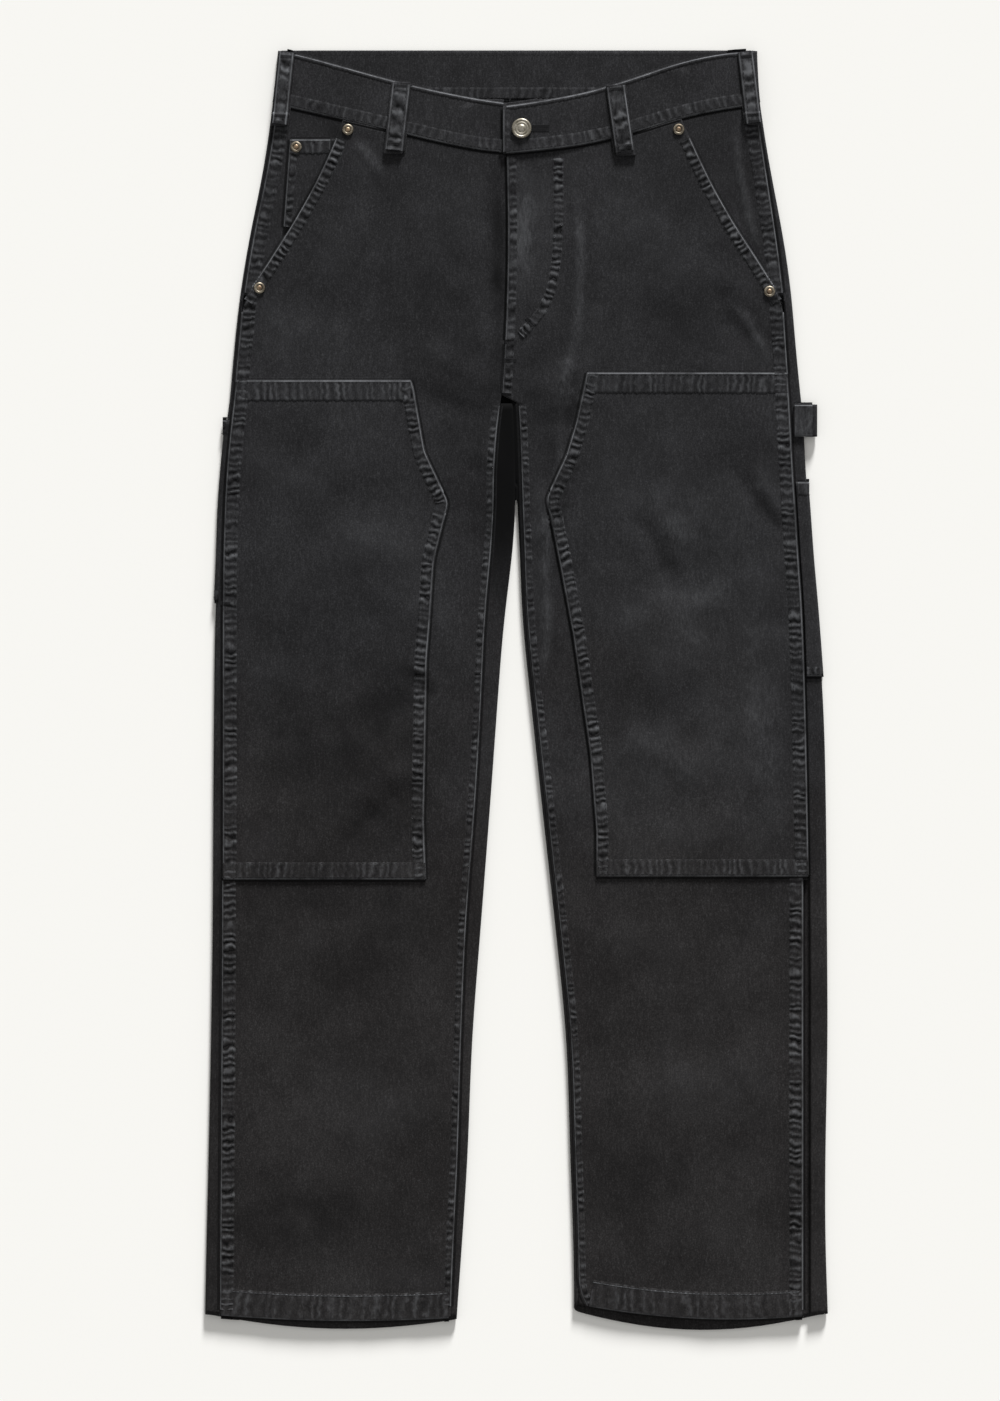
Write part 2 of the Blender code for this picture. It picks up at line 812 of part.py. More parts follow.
def rivet(spec, material):
    # A rivet: flat flange, round shoulder, sunk ring and a burr in the middle
    rim = RIVET_RADIUS
    high = RIVET_HEIGHT
    body = turned(spec["name"], [
        (0.0, 0.0),
        (rim, 0.0),
        (rim, high * 0.35),
        (rim * 0.8, high * 0.8),
        (rim * 0.55, high * 0.85),
        (rim * 0.42, high * 0.6),
        (rim * 0.25, high),
        (0.0, high),
    ], RIVET_SIDES, material)
    leg = spec["leg"]
    reach = rim * 0.9
    around = [(0, 0), (reach, 0), (-reach, 0), (0, reach), (0, -reach)]
    if spec["on"] == "coin":
        heights = [coin_height(spec["drop"] + a, spec["out"] + b) for a, b in around]
    else:
        heights = [panel_height(leg, spec["drop"] + a, spec["out"] + b) for a, b in around]
    seat = max(heights) + CLOTH / 2 + SEAM_GAP
    body.location = place(leg, spec["out"], spec["drop"], seat)
    return body


def main():
    for old in list(bpy.data.objects):
        bpy.data.objects.remove(old, do_unlink=True)

    washed_black = (0.021, 0.021, 0.024)
    worn_black = (0.027, 0.027, 0.030)
    pewter = (0.34, 0.31, 0.25)
    brass = (0.42, 0.30, 0.16)

    root = bpy.data.objects.new("carpenter_pants", None)
    bpy.context.scene.collection.objects.link(root)

    pieces = []
    for leg in SIDE:
        pieces.append(front_panel(leg, plain_material("front_" + leg, washed_black, 0.85)))
        pieces.append(back_panel(leg, plain_material("back_" + leg, washed_black, 0.85)))
        pieces.append(front_band(leg, plain_material("waistband_front_" + leg, worn_black, 0.85)))
        pieces.append(pocket_facing(leg, plain_material("pocket_facing_" + leg, washed_black, 0.85)))
        pieces.append(knee_patch(leg, plain_material("knee_patch_" + leg, washed_black, 0.85)))
        pieces.append(tool_pocket(leg, plain_material("tool_pocket_" + leg, washed_black, 0.85)))
    pieces.append(back_band(plain_material("waistband_back", worn_black, 0.85)))
    pieces.append(fly_shield(plain_material("fly_shield", washed_black, 0.85)))
    pieces.append(coin_pocket(plain_material("coin_pocket", washed_black, 0.85)))
    pieces.append(hammer_loop(plain_material("hammer_loop", worn_black, 0.85)))
    for loop in LOOPS:
        pieces.append(belt_loop(loop, plain_material("belt_loop_" + loop["name"], worn_black, 0.85)))
    for spec in RIVETS:
        pieces.append(rivet(spec, plain_material(spec["name"], brass, 0.4, 1.0)))
    pieces.append(button(plain_material("button", pewter, 0.4, 1.0)))

    for piece in pieces:
        piece.parent = root


main()
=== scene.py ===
import math

import bmesh
import bpy
import numpy as np
from mathutils import Matrix, Vector, noise
from mathutils.bvhtree import BVHTree


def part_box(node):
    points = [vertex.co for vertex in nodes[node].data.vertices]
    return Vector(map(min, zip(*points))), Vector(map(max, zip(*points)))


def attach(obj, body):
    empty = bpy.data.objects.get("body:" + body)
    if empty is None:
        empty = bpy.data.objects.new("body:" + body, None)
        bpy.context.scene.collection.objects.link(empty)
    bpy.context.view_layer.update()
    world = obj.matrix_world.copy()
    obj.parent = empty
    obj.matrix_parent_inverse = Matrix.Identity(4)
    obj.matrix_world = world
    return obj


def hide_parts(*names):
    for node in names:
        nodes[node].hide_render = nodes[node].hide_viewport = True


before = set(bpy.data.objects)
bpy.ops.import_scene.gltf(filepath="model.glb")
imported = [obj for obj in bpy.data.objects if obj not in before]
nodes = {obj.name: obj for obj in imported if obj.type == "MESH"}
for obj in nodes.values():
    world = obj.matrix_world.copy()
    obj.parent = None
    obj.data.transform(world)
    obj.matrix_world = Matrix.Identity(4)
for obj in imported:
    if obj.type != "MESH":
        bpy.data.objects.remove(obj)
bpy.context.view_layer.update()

# Lengths below are in millimetres and are turned to metres by mm.
# The waist points to +Y, the wearer's left leg lies on +X and the garment rests on z = 0.
mm = 0.001
waistTop = 544.0
left, right = 1, -1
surfaces = {}  # finished top surfaces, which strips and stitches are laid on


def at(side, out, drop):  # out from the centre line, drop from the waist's top edge
    return (side * out, waistTop - drop)


def ease(value):
    value = np.clip(value, 0.0, 1.0)
    return value * value * (3 - 2 * value)


def wobble(along, seed):  # a slow uneven wave between about -1 and 1
    slow = np.sin(along * 0.071 + seed)
    middling = np.sin(along * 0.113 + seed * 2.3)
    quick = np.sin(along * 0.191 + seed * 0.7)
    return (slow + middling + quick) / 3


def noiseOver(x, y, size, stretch, layer):
    places = zip(x / size, y / size * stretch)
    return np.array([noise.noise((p, q, layer)) for p, q in places])


def linePlace(points, x, y):
    # Distance to a line of points, to its left as positive, and the length along it
    nearest = np.full(x.shape, 1e9)
    along = np.zeros(x.shape)
    side = np.ones(x.shape)
    run = 0.0
    for (ax, ay), (bx, by) in zip(points, points[1:]):
        dx, dy = bx - ax, by - ay
        span = math.hypot(dx, dy)
        share = np.clip(((x - ax) * dx + (y - ay) * dy) / span ** 2, 0, 1)
        gapX, gapY = x - ax - share * dx, y - ay - share * dy
        gap = np.hypot(gapX, gapY)
        closer = gap < nearest
        nearest = np.where(closer, gap, nearest)
        along = np.where(closer, run + share * span, along)
        side = np.where(closer, np.where(dx * gapY - dy * gapX >= 0, 1.0, -1.0), side)
        run += span
    return nearest * side, along, run


# The creases, listed: end points as out and drop, half width, height, bend sideways
creases = {
    "left": [
        ((50, 118), (48, 276), 4.5, 1.0, 4),
        ((49, 236), (34, 392), 5, 1.2, -4),
        ((176, 212), (214, 268), 4, 0.9, 5),
        ((160, 196), (200, 262), 9, -0.6, 5),
        ((184, 58), (208, 182), 4, 0.9, -4),
        ((96, 388), (134, 456), 8, -0.8, 4),
        ((190, 352), (236, 420), 7, -0.8, -6),
        ((33, 372), (24, 470), 4, 1.0, -3),
        ((25, 455), (20, 540), 4, 0.9, 3),
        ((40, 330), (24, 420), 4, 0.8, 3),
        ((40, 292), (26, 372), 6, -0.7, 4),
        ((27, 366), (21, 424), 7, 0.9, -3),
        ((47, 318), (22, 405), 7, 0.6, 6),
        ((20, 430), (34, 520), 9, 0.5, -4),
        ((8, 300), (70, 262), 10, 0.5, 4),
        ((10, 316), (92, 300), 9, -0.4, -4),
        ((92, 140), (152, 214), 22, 0.5, 9),
        ((70, 210), (190, 236), 20, -0.5, -8),
        ((225, 250), (150, 268), 16, 0.4, 5),
        ((232, 338), (128, 420), 20, 0.5, 10),
        ((60, 412), (168, 452), 18, -0.5, -9),
        ((70, 500), (190, 470), 16, 0.5, 8),
        ((90, 556), (214, 520), 18, -0.6, -7),
        ((74, 584), (168, 618), 14, 0.6, 6),
        ((236, 560), (150, 600), 15, 0.5, -6),
        ((96, 650), (226, 640), 17, -0.5, 8),
        ((70, 740), (160, 770), 20, 0.5, -9),
        ((232, 800), (130, 852), 24, -0.5, 10),
        ((76, 900), (180, 880), 20, 0.4, 8),
        ((90, 990), (226, 960), 22, 0.5, -8),
        ((110, 1036), (196, 1050), 15, -0.4, 5),
    ],
    "right": [
        ((60, 190), (14, 262), 12, 0.5, 7),
        ((142, 76), (112, 112), 4, 0.7, 3),
        ((16, 120), (12, 250), 6, -0.8, 2),
        ((98, 520), (66, 552), 7, -0.8, -4),
        ((150, 690), (106, 640), 8, -0.6, 6),
        ((96, 250), (12, 300), 11, 0.6, 8),
        ((110, 268), (16, 318), 9, -0.5, -6),
        ((16, 318), (26, 412), 9, 0.8, -5),
        ((34, 330), (24, 440), 8, -0.6, 4),
        ((120, 120), (176, 208), 20, 0.5, 8),
        ((60, 120), (150, 180), 22, -0.4, -8),
        ((232, 232), (130, 262), 17, 0.5, 6),
        ((240, 330), (150, 388), 20, 0.5, -9),
        ((100, 340), (204, 420), 22, -0.5, 9),
        ((70, 440), (160, 410), 15, 0.5, -6),
        ((56, 500), (150, 470), 16, -0.5, 7),
        ((238, 520), (120, 575), 18, 0.6, 9),
        ((66, 545), (170, 592), 14, -0.7, -8),
        ((70, 590), (150, 640), 12, 0.7, 6),
        ((60, 626), (128, 612), 10, 0.5, -4),
        ((238, 640), (140, 616), 16, -0.5, 7),
        ((90, 740), (200, 770), 21, 0.5, -8),
        ((240, 830), (120, 800), 22, -0.4, 9),
        ((60, 880), (150, 920), 20, 0.5, 8),
        ((236, 960), (120, 1000), 24, -0.5, -9),
        ((70, 1030), (180, 1046), 16, 0.4, 5),
    ],
}
# Soft paler patches of wear and darker patches, mostly painted shade: out, drop, half width, half height,
# strength
blooms = {
    "left": [
        (150, 470, 100, 180, 0.06), (5, 145, 9, 40, 0.34), (24, 150, 8, 44, 0.10),
        (98, 128, 60, 60, 0.05), (150, 470, 70, 120, 0.06), (120, 650, 60, 60, 0.05),
        (14, 90, 14, 9, -0.20), (160, 232, 26, 20, -0.22), (42, 205, 10, 60, -0.14),
        (12, 296, 12, 46, -0.25), (30, 352, 14, 46, -0.12), (206, 150, 12, 50, -0.10),
        (186, 330, 40, 22, -0.12), (80, 540, 22, 40, -0.14), (150, 712, 110, 12, -0.16),
        (104, 960, 60, 34, -0.22), (170, 860, 60, 60, 0.06), (74, 850, 26, 90, -0.08),
        (236, 900, 12, 190, -0.12), (214, 600, 14, 60, 0.07), (30, 64, 30, 16, -0.06),
    ],
    "right": [
        (150, 560, 110, 160, -0.05), (152, 68, 9, 10, -0.62), (168, 90, 22, 22, -0.12),
        (122, 94, 16, 12, 0.16), (60, 150, 40, 60, 0.05), (15, 160, 6, 90, -0.42),
        (46, 300, 16, 50, -0.20), (14, 290, 12, 40, -0.22), (116, 590, 40, 52, -0.30),
        (190, 588, 30, 24, -0.18), (210, 660, 30, 30, 0.08), (150, 420, 60, 90, 0.05),
        (104, 745, 44, 44, -0.24), (180, 720, 70, 12, -0.14), (160, 985, 60, 24, -0.20),
        (120, 880, 60, 50, 0.05), (247, 800, 9, 300, -0.42), (30, 420, 10, 120, -0.18),
        (60, 1040, 40, 14, 0.08), (70, 480, 22, 30, 0.08), (232, 480, 12, 60, 0.06),
        (80, 200, 46, 34, -0.10), (190, 1000, 48, 26, -0.14), (130, 1012, 60, 20, -0.13),
        (206, 240, 24, 26, 0.07),
    ],
}
creaseGain = 1.7
underSide = {"height": 3.4, "fade": 2.2}
unevenness = {"wide": 0.7, "wideSize": 52.0, "fine": 0.2, "fineSize": 15.0, "bloomSize": 19.0}


def creaseField(x, y):
    # How far the front layer is lifted by creases and unevenness, and the painted light and shade of its
    # sharp creases: painted highlight on raised ones, painted shade on sunken ones
    lift = np.zeros(x.shape)
    creaseShading = np.zeros(x.shape)
    for name, side in (("left", left), ("right", right)):
        for index, (start, end, width, height, bend) in enumerate(creases[name]):
            a, b = np.array(at(side, *start)), np.array(at(side, *end))
            across = np.array([a[1] - b[1], b[0] - a[0]]) / np.hypot(*(b - a)) * bend
            early = tuple(a * 0.7 + b * 0.3 + across)
            late = tuple(a * 0.3 + b * 0.7 + across * 0.8)
            line = [tuple(a), early, late, tuple(b)]
            gap, along, run = linePlace(line, x, y)
            ends = ease(along / run * 3.2) * ease((1 - along / run) * 3.2)
            spread = width * (1 + 0.25 * wobble(along * 3, index))
            profile = np.exp(-(gap / spread) ** 2) - 0.35 * np.exp(-((gap - spread * 1.7) / spread) ** 2)
            lift += creaseGain * height * ends * profile
            creaseShading += height * ends * profile * min(1.0, 5.0 / width)
    lift += unevenness["wide"] * noiseOver(x, y, unevenness["wideSize"], 0.8, 3.1)
    lift += unevenness["fine"] * noiseOver(x, y, unevenness["fineSize"], 0.7, 9.4)
    return lift, creaseShading


def bloomField(x, y):
    # Above 0 where the cloth has worn paler, below 0 where it is painted darker, mostly as painted shade
    tone = np.zeros(x.shape)
    for name, side in (("left", left), ("right", right)):
        for out, drop, width, height, strength in blooms[name]:
            px, py = at(side, out, drop)
            bent = (x - px) / width + 0.25 * np.sin((y - py) / height * 1.7 + out)
            tone += strength * np.exp(-bent ** 2 - ((y - py) / height) ** 2)
    return tone * (1 + noiseOver(x, y, unevenness["bloomSize"], 1, 6.2))


# Shader maths written as expressions
class Wire:
    def __init__(self, maker, socket):
        self.maker = maker
        self.socket = socket

    def join(self, operation, first, second):
        return self.maker.node("Math", {"operation": operation}, {0: first, 1: second})

    def __add__(self, other):
        return self.join("ADD", self, other)

    def __radd__(self, other):
        return self.join("ADD", other, self)

    def __sub__(self, other):
        return self.join("SUBTRACT", self, other)

    def __rsub__(self, other):
        return self.join("SUBTRACT", other, self)

    def __mul__(self, other):
        return self.join("MULTIPLY", self, other)

    def __rmul__(self, other):
        return self.join("MULTIPLY", other, self)

    def above(self, edge, soft, kind="SMOOTHSTEP"):  # 0 below edge, 1 above edge + soft
        settings = {"interpolation_type": kind}
        inputs = {"Value": self, "From Min": edge, "From Max": edge + soft}
        return self.maker.node("MapRange", settings, inputs)


class Maker:
    def __init__(self, name):
        self.material = bpy.data.materials.new(name)
        self.material.use_nodes = True
        self.tree = self.material.node_tree
        self.shader = self.tree.nodes["Principled BSDF"]

    def node(self, kind, settings=None, inputs=None, output=0):
        made = self.tree.nodes.new("ShaderNode" + kind)
        for key, value in (settings or {}).items():
            setattr(made, key, value)
        for key, value in (inputs or {}).items():
            self.feed(made.inputs[key], value)
        return Wire(self, made.outputs[output])

    def feed(self, socket, value):
        if isinstance(value, Wire):
            self.tree.links.new(value.socket, socket)
        else:
            socket.default_value = value

    def coordinates(self, scale=(1, 1, 1), turn=0.0):
        place = self.node("TexCoord", output="Object")
        settings = {"vector_type": "POINT"}
        return self.node("Mapping", settings, {"Vector": place, "Scale": scale, "Rotation": (0, 0, turn)})

    def noise(self, scale, detail=2.0, stretch=(1, 1, 1), turn=0.0):
        vector = self.coordinates(stretch, turn)
        inputs = {"Vector": vector, "Scale": scale, "Detail": detail, "Roughness": 0.6}
        return self.node("TexNoise", {}, inputs)

    def mixColour(self, share, first, second):
        settings = {"data_type": "RGBA", "clamp_factor": True}
        return self.node("Mix", settings, {0: share, 6: first, 7: second}, output=2)

    def attribute(self, name):
        return self.node("Attribute", {"attribute_name": name}, output="Fac")


clothLook = {
    "paleTop": (0.0315, 0.0315, 0.0338),
    "deepTop": (0.0182, 0.0180, 0.0192),
    "paleLow": (0.0310, 0.0292, 0.0294),
    "deepLow": (0.0178, 0.0164, 0.0164),
    # The pale colour stands for wear and painted highlight, and for pale flecks of the weave
    "paleTone": (0.1500, 0.1550, 0.1640),
    # The near-black colour stands for painted shade, some darker cloth and the weave's dark grain
    "shadeAndDarkTone": (0.0022, 0.0022, 0.0024),
    "roughness": 0.9,
    "specular": 0.05,
    "sheen": 0.02,
    "twillPitch": 0.62,
    "twillDepth": 0.10,
    "twillSlant": -62,
}


def clothMaterial(name, tone=1.0):
    make = Maker(name)
    look = clothLook

    def shade(colour, gain=1.0):
        return tuple(channel * tone * gain for channel in colour) + (1.0,)

    place = make.node("SeparateXYZ", {}, {0: make.coordinates()}, output="Y")
    upper = (place + (make.noise(6.0, 2.0) - 0.5) * 0.5).above(-0.25, 0.4)
    cloud = make.noise(8.0, 3.0, (1, 1.25, 1), 0.5)
    patchy = make.noise(42.0, 4.0, (1, 0.75, 1))
    slub = make.noise(620.0, 2.0, (1, 0.25, 1))
    threads = make.noise(1400.0, 1.0, (1, 0.4, 1))
    fleck = make.noise(800.0, 2.0)
    deep = make.mixColour(upper, shade(look["deepLow"]), shade(look["deepTop"]))
    pale = make.mixColour(upper, shade(look["paleLow"]), shade(look["paleTop"]))
    mottle = cloud.above(0.34, 0.32) * 0.6 + patchy.above(0.32, 0.36) * 0.4
    colour = make.mixColour(mottle, deep, pale)
    grain = (slub - 0.5) * 0.9 + (threads - 0.5) * 1.1 + (fleck - 0.5) * 1.4
    lit = (grain + 0.08).above(-0.28, 0.7) * 0.52 + 0.5
    colour = make.mixColour(lit, shade(look["shadeAndDarkTone"], 1.6), colour)
    flecked = (grain - 0.08).above(0.0, 0.7) * 0.16
    colour = make.mixColour(flecked, colour, shade(look["paleTone"]))
    # Paler where the cloth is worn, and where a painted highlight lies on raised creases and rope peaks
    wearAndHighlight = make.attribute("wearAndHighlight")
    paleness = wearAndHighlight + ((slub - 0.5) * 0.35 + (patchy - 0.5) * 0.5) * wearAndHighlight.above(0.02, 0.1)
    colour = make.mixColour(paleness.above(0.0, 1.15, "LINEAR"), colour, shade(look["paleTone"], 1.15))
    # Darker as painted shade in creases, folds, rope valleys, the fork and beside raised edges, and as
    # darker cloth in some patches
    shadeAndDarkTone = make.attribute("shadeAndDarkTone")
    shadow = shadeAndDarkTone + (patchy - 0.5) * 0.25 * shadeAndDarkTone.above(0.02, 0.2)
    colour = make.mixColour(shadow.above(0.0, 0.95, "LINEAR"), colour, shade(look["shadeAndDarkTone"]))
    make.feed(make.shader.inputs["Base Color"], colour)
    make.shader.inputs["Roughness"].default_value = look["roughness"]
    make.shader.inputs["Specular IOR Level"].default_value = look["specular"]
    make.shader.inputs["Sheen Weight"].default_value = look["sheen"]
    make.shader.inputs["Sheen Roughness"].default_value = 0.6
    settings = {"wave_type": "BANDS", "bands_direction": "X", "wave_profile": "SIN"}
    slant = make.coordinates((1, 1, 1), math.radians(look["twillSlant"]))
    inputs = {"Vector": slant, "Scale": 0.314 / (look["twillPitch"] * mm), "Distortion": 1.2, "Detail": 1.0}
    twill = make.node("TexWave", settings, inputs)
    height = twill * 0.5 + slub * 0.8 + fleck * 0.35
    bump = make.node("Bump", {}, {"Strength": 0.55, "Distance": look["twillDepth"] * mm, "Height": height})
    make.feed(make.shader.inputs["Normal"], bump)
    return make.material


threadLook = {"colour": (0.0085, 0.0085, 0.0095), "lighter": 1.9, "roughness": 0.8}


def threadMaterial(name):
    make = Maker(name)
    twist = make.noise(1800.0, 1.0, (1, 0.4, 1))
    paleTone = make.noise(60.0, 3.0)
    colour = threadLook["colour"]
    light = tuple(channel * threadLook["lighter"] for channel in colour) + (1.0,)
    made = make.mixColour((twist * 0.5 + paleTone * 0.5).above(0.42, 0.25), colour + (1.0,), light)
    make.feed(make.shader.inputs["Base Color"], made)
    make.shader.inputs["Roughness"].default_value = threadLook["roughness"]
    make.shader.inputs["Specular IOR Level"].default_value = 0.2
    bump = make.node("Bump", {}, {"Strength": 0.4, "Distance": 0.1 * mm, "Height": twist})
    make.feed(make.shader.inputs["Normal"], bump)
    return make.material


metalLook = {
    "buttonMetal": {"bright": (0.46, 0.43, 0.365), "dull": (0.22, 0.20, 0.155), "roughness": 0.42},
    "rivetMetal": {"bright": (0.36, 0.32, 0.25), "dull": (0.12, 0.10, 0.075), "roughness": 0.45},
    "burrMetal": {"bright": (0.40, 0.30, 0.20), "dull": (0.17, 0.12, 0.08), "roughness": 0.45},
}


def metalMaterial(name):
    make = Maker(name)
    look = metalLook[name]
    stain = make.noise(300.0, 4.0)
    fine = make.noise(1600.0, 2.0)
    pits = stain * 0.7 + fine * 0.3
    colour = make.mixColour(pits.above(0.40, 0.24), look["dull"] + (1.0,), look["bright"] + (1.0,))
    make.feed(make.shader.inputs["Base Color"], colour)
    make.feed(make.shader.inputs["Roughness"], look["roughness"] + (0.55 - pits) * 0.5)
    make.shader.inputs["Metallic"].default_value = 0.9
    bump = make.node("Bump", {}, {"Strength": 0.35, "Distance": 0.08 * mm, "Height": pits})
    make.feed(make.shader.inputs["Normal"], bump)
    return make.material


panelCloth = clothMaterial("panelCloth")
patchCloth = clothMaterial("patchCloth", 1.02)
bandCloth = clothMaterial("bandCloth", 1.1)
thread = threadMaterial("thread")
buttonMetal = metalMaterial("buttonMetal")
rivetMetal = metalMaterial("rivetMetal")
burrMetal = metalMaterial("burrMetal")
print("materials made")


def newPiece(name, mesh, material):
    mesh.materials.clear()
    mesh.materials.append(material)
    mesh.shade_smooth()
    made = bpy.data.objects.new(name, mesh)
    bpy.context.scene.collection.objects.link(made)
    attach(made, "root")
    return made


def meshOf(shape, name):
    mesh = bpy.data.meshes.new(name)
    shape.to_mesh(mesh)
    shape.free()
    return mesh


def readPoints(mesh):
    flat = np.zeros(len(mesh.vertices) * 3)
    mesh.vertices.foreach_get("co", flat)
    return flat.reshape(-1, 3) / mm


def writePoints(mesh, points):
    mesh.vertices.foreach_set("co", (points * mm).ravel())
    mesh.update()


def writeAttribute(mesh, name, values):
    layer = mesh.attributes.new(name, "FLOAT", "POINT")
    layer.data.foreach_set("value", np.asarray(values, np.float32))


copyLook = {"merge": 0.02, "flat": 30, "square": 75, "sharp": 50}


def fineCopy(node, levels):
    # A merged copy of a solid's mesh in four-sided faces, rounded by subdivision but crisp at its rims
    shape = bmesh.new()
    shape.from_mesh(nodes[node].data)
    bmesh.ops.remove_doubles(shape, verts=shape.verts, dist=copyLook["merge"] * mm)
    bmesh.ops.join_triangles(
        shape,
        faces=shape.faces,
        angle_face_threshold=math.radians(copyLook["flat"]),
        angle_shape_threshold=math.radians(copyLook["square"]),
    )
    hold = shape.edges.layers.float.new("crease_edge")
    for edge in shape.edges:
        if edge.is_manifold and edge.calc_face_angle() > math.radians(copyLook["sharp"]):
            edge[hold] = 1.0
    mesh = meshOf(shape, node + "Coarse")
    rough = bpy.data.objects.new(node + "Coarse", mesh)
    bpy.context.scene.collection.objects.link(rough)
    rounding = rough.modifiers.new("rounding", "SUBSURF")
    rounding.levels = rounding.render_levels = levels
    ready = rough.evaluated_get(bpy.context.evaluated_depsgraph_get())
    fine = bpy.data.meshes.new_from_object(ready)
    bpy.data.objects.remove(rough)
    bpy.data.meshes.remove(mesh)
    return fine


# The fork between the legs, where the back panels' inner folds are drawn together and get painted shade
fork = {
    "top": 290.0,
    "closeEnd": 376.0,
    "half": 7.0,
    "close": 0.28,
    "darkEnd": 505.0,
    "darkFade": 110.0,
    "darkHalf": 32.0,
    "dark": 0.97,
}
# How tone is painted: crease and relief shading as painted highlight and painted shade, paler patches as
# wear, darker patches mostly as painted shade
toneLook = {
    "creaseShading": 0.2,
    "lifted": 0.03,
    "wearAndHighlight": 0.42,
    "mostWearAndHighlight": 0.3,
    "shadeAndDarkTone": 1.15,
    "mostShadeAndDarkTone": 0.85,
}


def layOut(node, material, levels):
    # A shell of cloth on a solid's form, lifted in creases, in place of the solid
    mesh = fineCopy(node, levels)
    points = readPoints(mesh)
    x, y, z = points.T.copy()
    above = ease((z - underSide["height"]) / underSide["fade"])
    lift, creaseShading = creaseField(x, y)
    lift *= above
    points[:, 2] += lift
    shadeAndDarkTone = np.zeros(len(points))
    if node.startswith("back_"):
        drop = waistTop - y
        side = left if node == "back_left" else right
        beside = ease((fork["half"] - abs(x)) / fork["half"])
        between = ease((drop - fork["top"]) / 6) * ease((fork["closeEnd"] - drop) / 12)
        points[:, 0] -= side * fork["close"] * beside * between
        # Painted shade on the back panels in the fork between the legs
        shadeAndDarkTone = fork["dark"] * ease((fork["darkHalf"] - abs(x)) / 3)
        shadeAndDarkTone *= ease((drop - fork["top"]) / 4)
        shadeAndDarkTone *= ease((fork["darkEnd"] - drop) / fork["darkFade"])
    writePoints(mesh, points)
    # Paler tone is written as wear and painted highlight, darker tone as painted shade and some darker
    # cloth
    tone = (bloomField(x, y) + creaseShading * toneLook["creaseShading"] + lift * toneLook["lifted"]) * above
    darker = np.clip(-tone * toneLook["shadeAndDarkTone"], 0, toneLook["mostShadeAndDarkTone"])
    writeAttribute(mesh, "wearAndHighlight", np.clip(tone * toneLook["wearAndHighlight"], 0, toneLook["mostWearAndHighlight"]))
    writeAttribute(mesh, "shadeAndDarkTone", np.maximum(shadeAndDarkTone, darker))
    made = newPiece(node + "Cloth", mesh, material)
    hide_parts(node)
    remember(node, mesh)


def remember(name, mesh):
    corners = [vertex.co for vertex in mesh.vertices]
    surfaces[name] = BVHTree.FromPolygons(corners, [face.vertices for face in mesh.polygons])


clothPieces = {
    "front_left": (panelCloth, "panel_cloth", 3),
    "front_right": (panelCloth, "panel_cloth", 3),
    "back_left": (panelCloth, "panel_cloth", 2),
    "back_right": (panelCloth, "panel_cloth", 2),
    "fly_shield": (panelCloth, "panel_cloth", 2),
    "pocket_facing_left": (panelCloth, "panel_cloth", 3),
    "pocket_facing_right": (panelCloth, "panel_cloth", 3),
    "coin_pocket": (patchCloth, "patch_cloth", 3),
    "knee_patch_left": (patchCloth, "patch_cloth", 3),
    "knee_patch_right": (patchCloth, "patch_cloth", 3),
    "tool_pocket_left": (patchCloth, "patch_cloth", 2),
    "tool_pocket_right": (patchCloth, "patch_cloth", 2),
    "waistband_front_left": (bandCloth, "band_cloth", 3),
    "waistband_front_right": (bandCloth, "band_cloth", 3),
    "waistband_back": (bandCloth, "band_cloth", 3),
    "belt_loop_front_left": (bandCloth, "band_cloth", 3),
    "belt_loop_front_right": (bandCloth, "band_cloth", 3),
    "belt_loop_side_left": (bandCloth, "band_cloth", 3),
    "belt_loop_side_right": (bandCloth, "band_cloth", 3),
    "hammer_loop": (bandCloth, "band_cloth", 3),
}
for node, (material, slot, levels) in clothPieces.items():
    layOut(node, material, levels)
print("cloth laid out")


def topAt(x, y, names):
    # The highest of the named surfaces at a place, and its normal
    best, normal = None, Vector((0, 0, 1))
    for name in names:
        hit, facing, _, _ = surfaces[name].ray_cast(Vector((x * mm, y * mm, 0.05)), Vector((0, 0, -1)))
        if hit and (best is None or hit.z / mm > best):
            best, normal = hit.z / mm, facing
    return best, normal


reachCache = {}


def reach(node, along, value):
    # The node's lowest and highest reach across a line at value on the axis along (0 for x, 1 for y)
    if node not in reachCache:
        mesh = nodes[node].data
        flat = np.zeros(len(mesh.edges) * 2, int)
        mesh.edges.foreach_get("vertices", flat)
        points = readPoints(mesh)
        ends = flat.reshape(-1, 2)
        reachCache[node] = (points[ends[:, 0]], points[ends[:, 1]])
    a, b = reachCache[node]
    other = 1 - along
    crossing = (a[:, along] - value) * (b[:, along] - value) <= 0
    p, q = a[crossing], b[crossing]
    span = q[:, along] - p[:, along]
    span = np.where(abs(span) < 1e-6, 1e9, span)
    place = p[:, other] + (value - p[:, along]) / span * (q[:, other] - p[:, other])
    return place.min(), place.max()


def dropsOf(node):
    # The drops of a node's top and bottom edges
    low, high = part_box(node)
    return waistTop - high.y / mm, waistTop - low.y / mm


def sideLine(node, side, edge, top, bottom, step=9.0):
    # The outer or inner edge of a piece from one drop to another, as points
    line = []
    count = max(2, round(abs(bottom - top) / step))
    for index in range(count + 1):
        y = waistTop - top - (bottom - top) * index / count
        low, high = reach(node, 1, y)
        outward = high if side == left else low
        inward = low if side == left else high
        line.append((outward if edge == "outer" else inward, y))
    return line


def crossLine(node, side, edge, start, end, step=9.0):
    # The top or bottom edge of a piece from one distance out to another, as points
    line = []
    count = max(2, round(abs(end - start) / step))
    for index in range(count + 1):
        x = side * (start + (end - start) * index / count)
        low, high = reach(node, 0, x)
        line.append((x, high if edge == "top" else low))
    return line


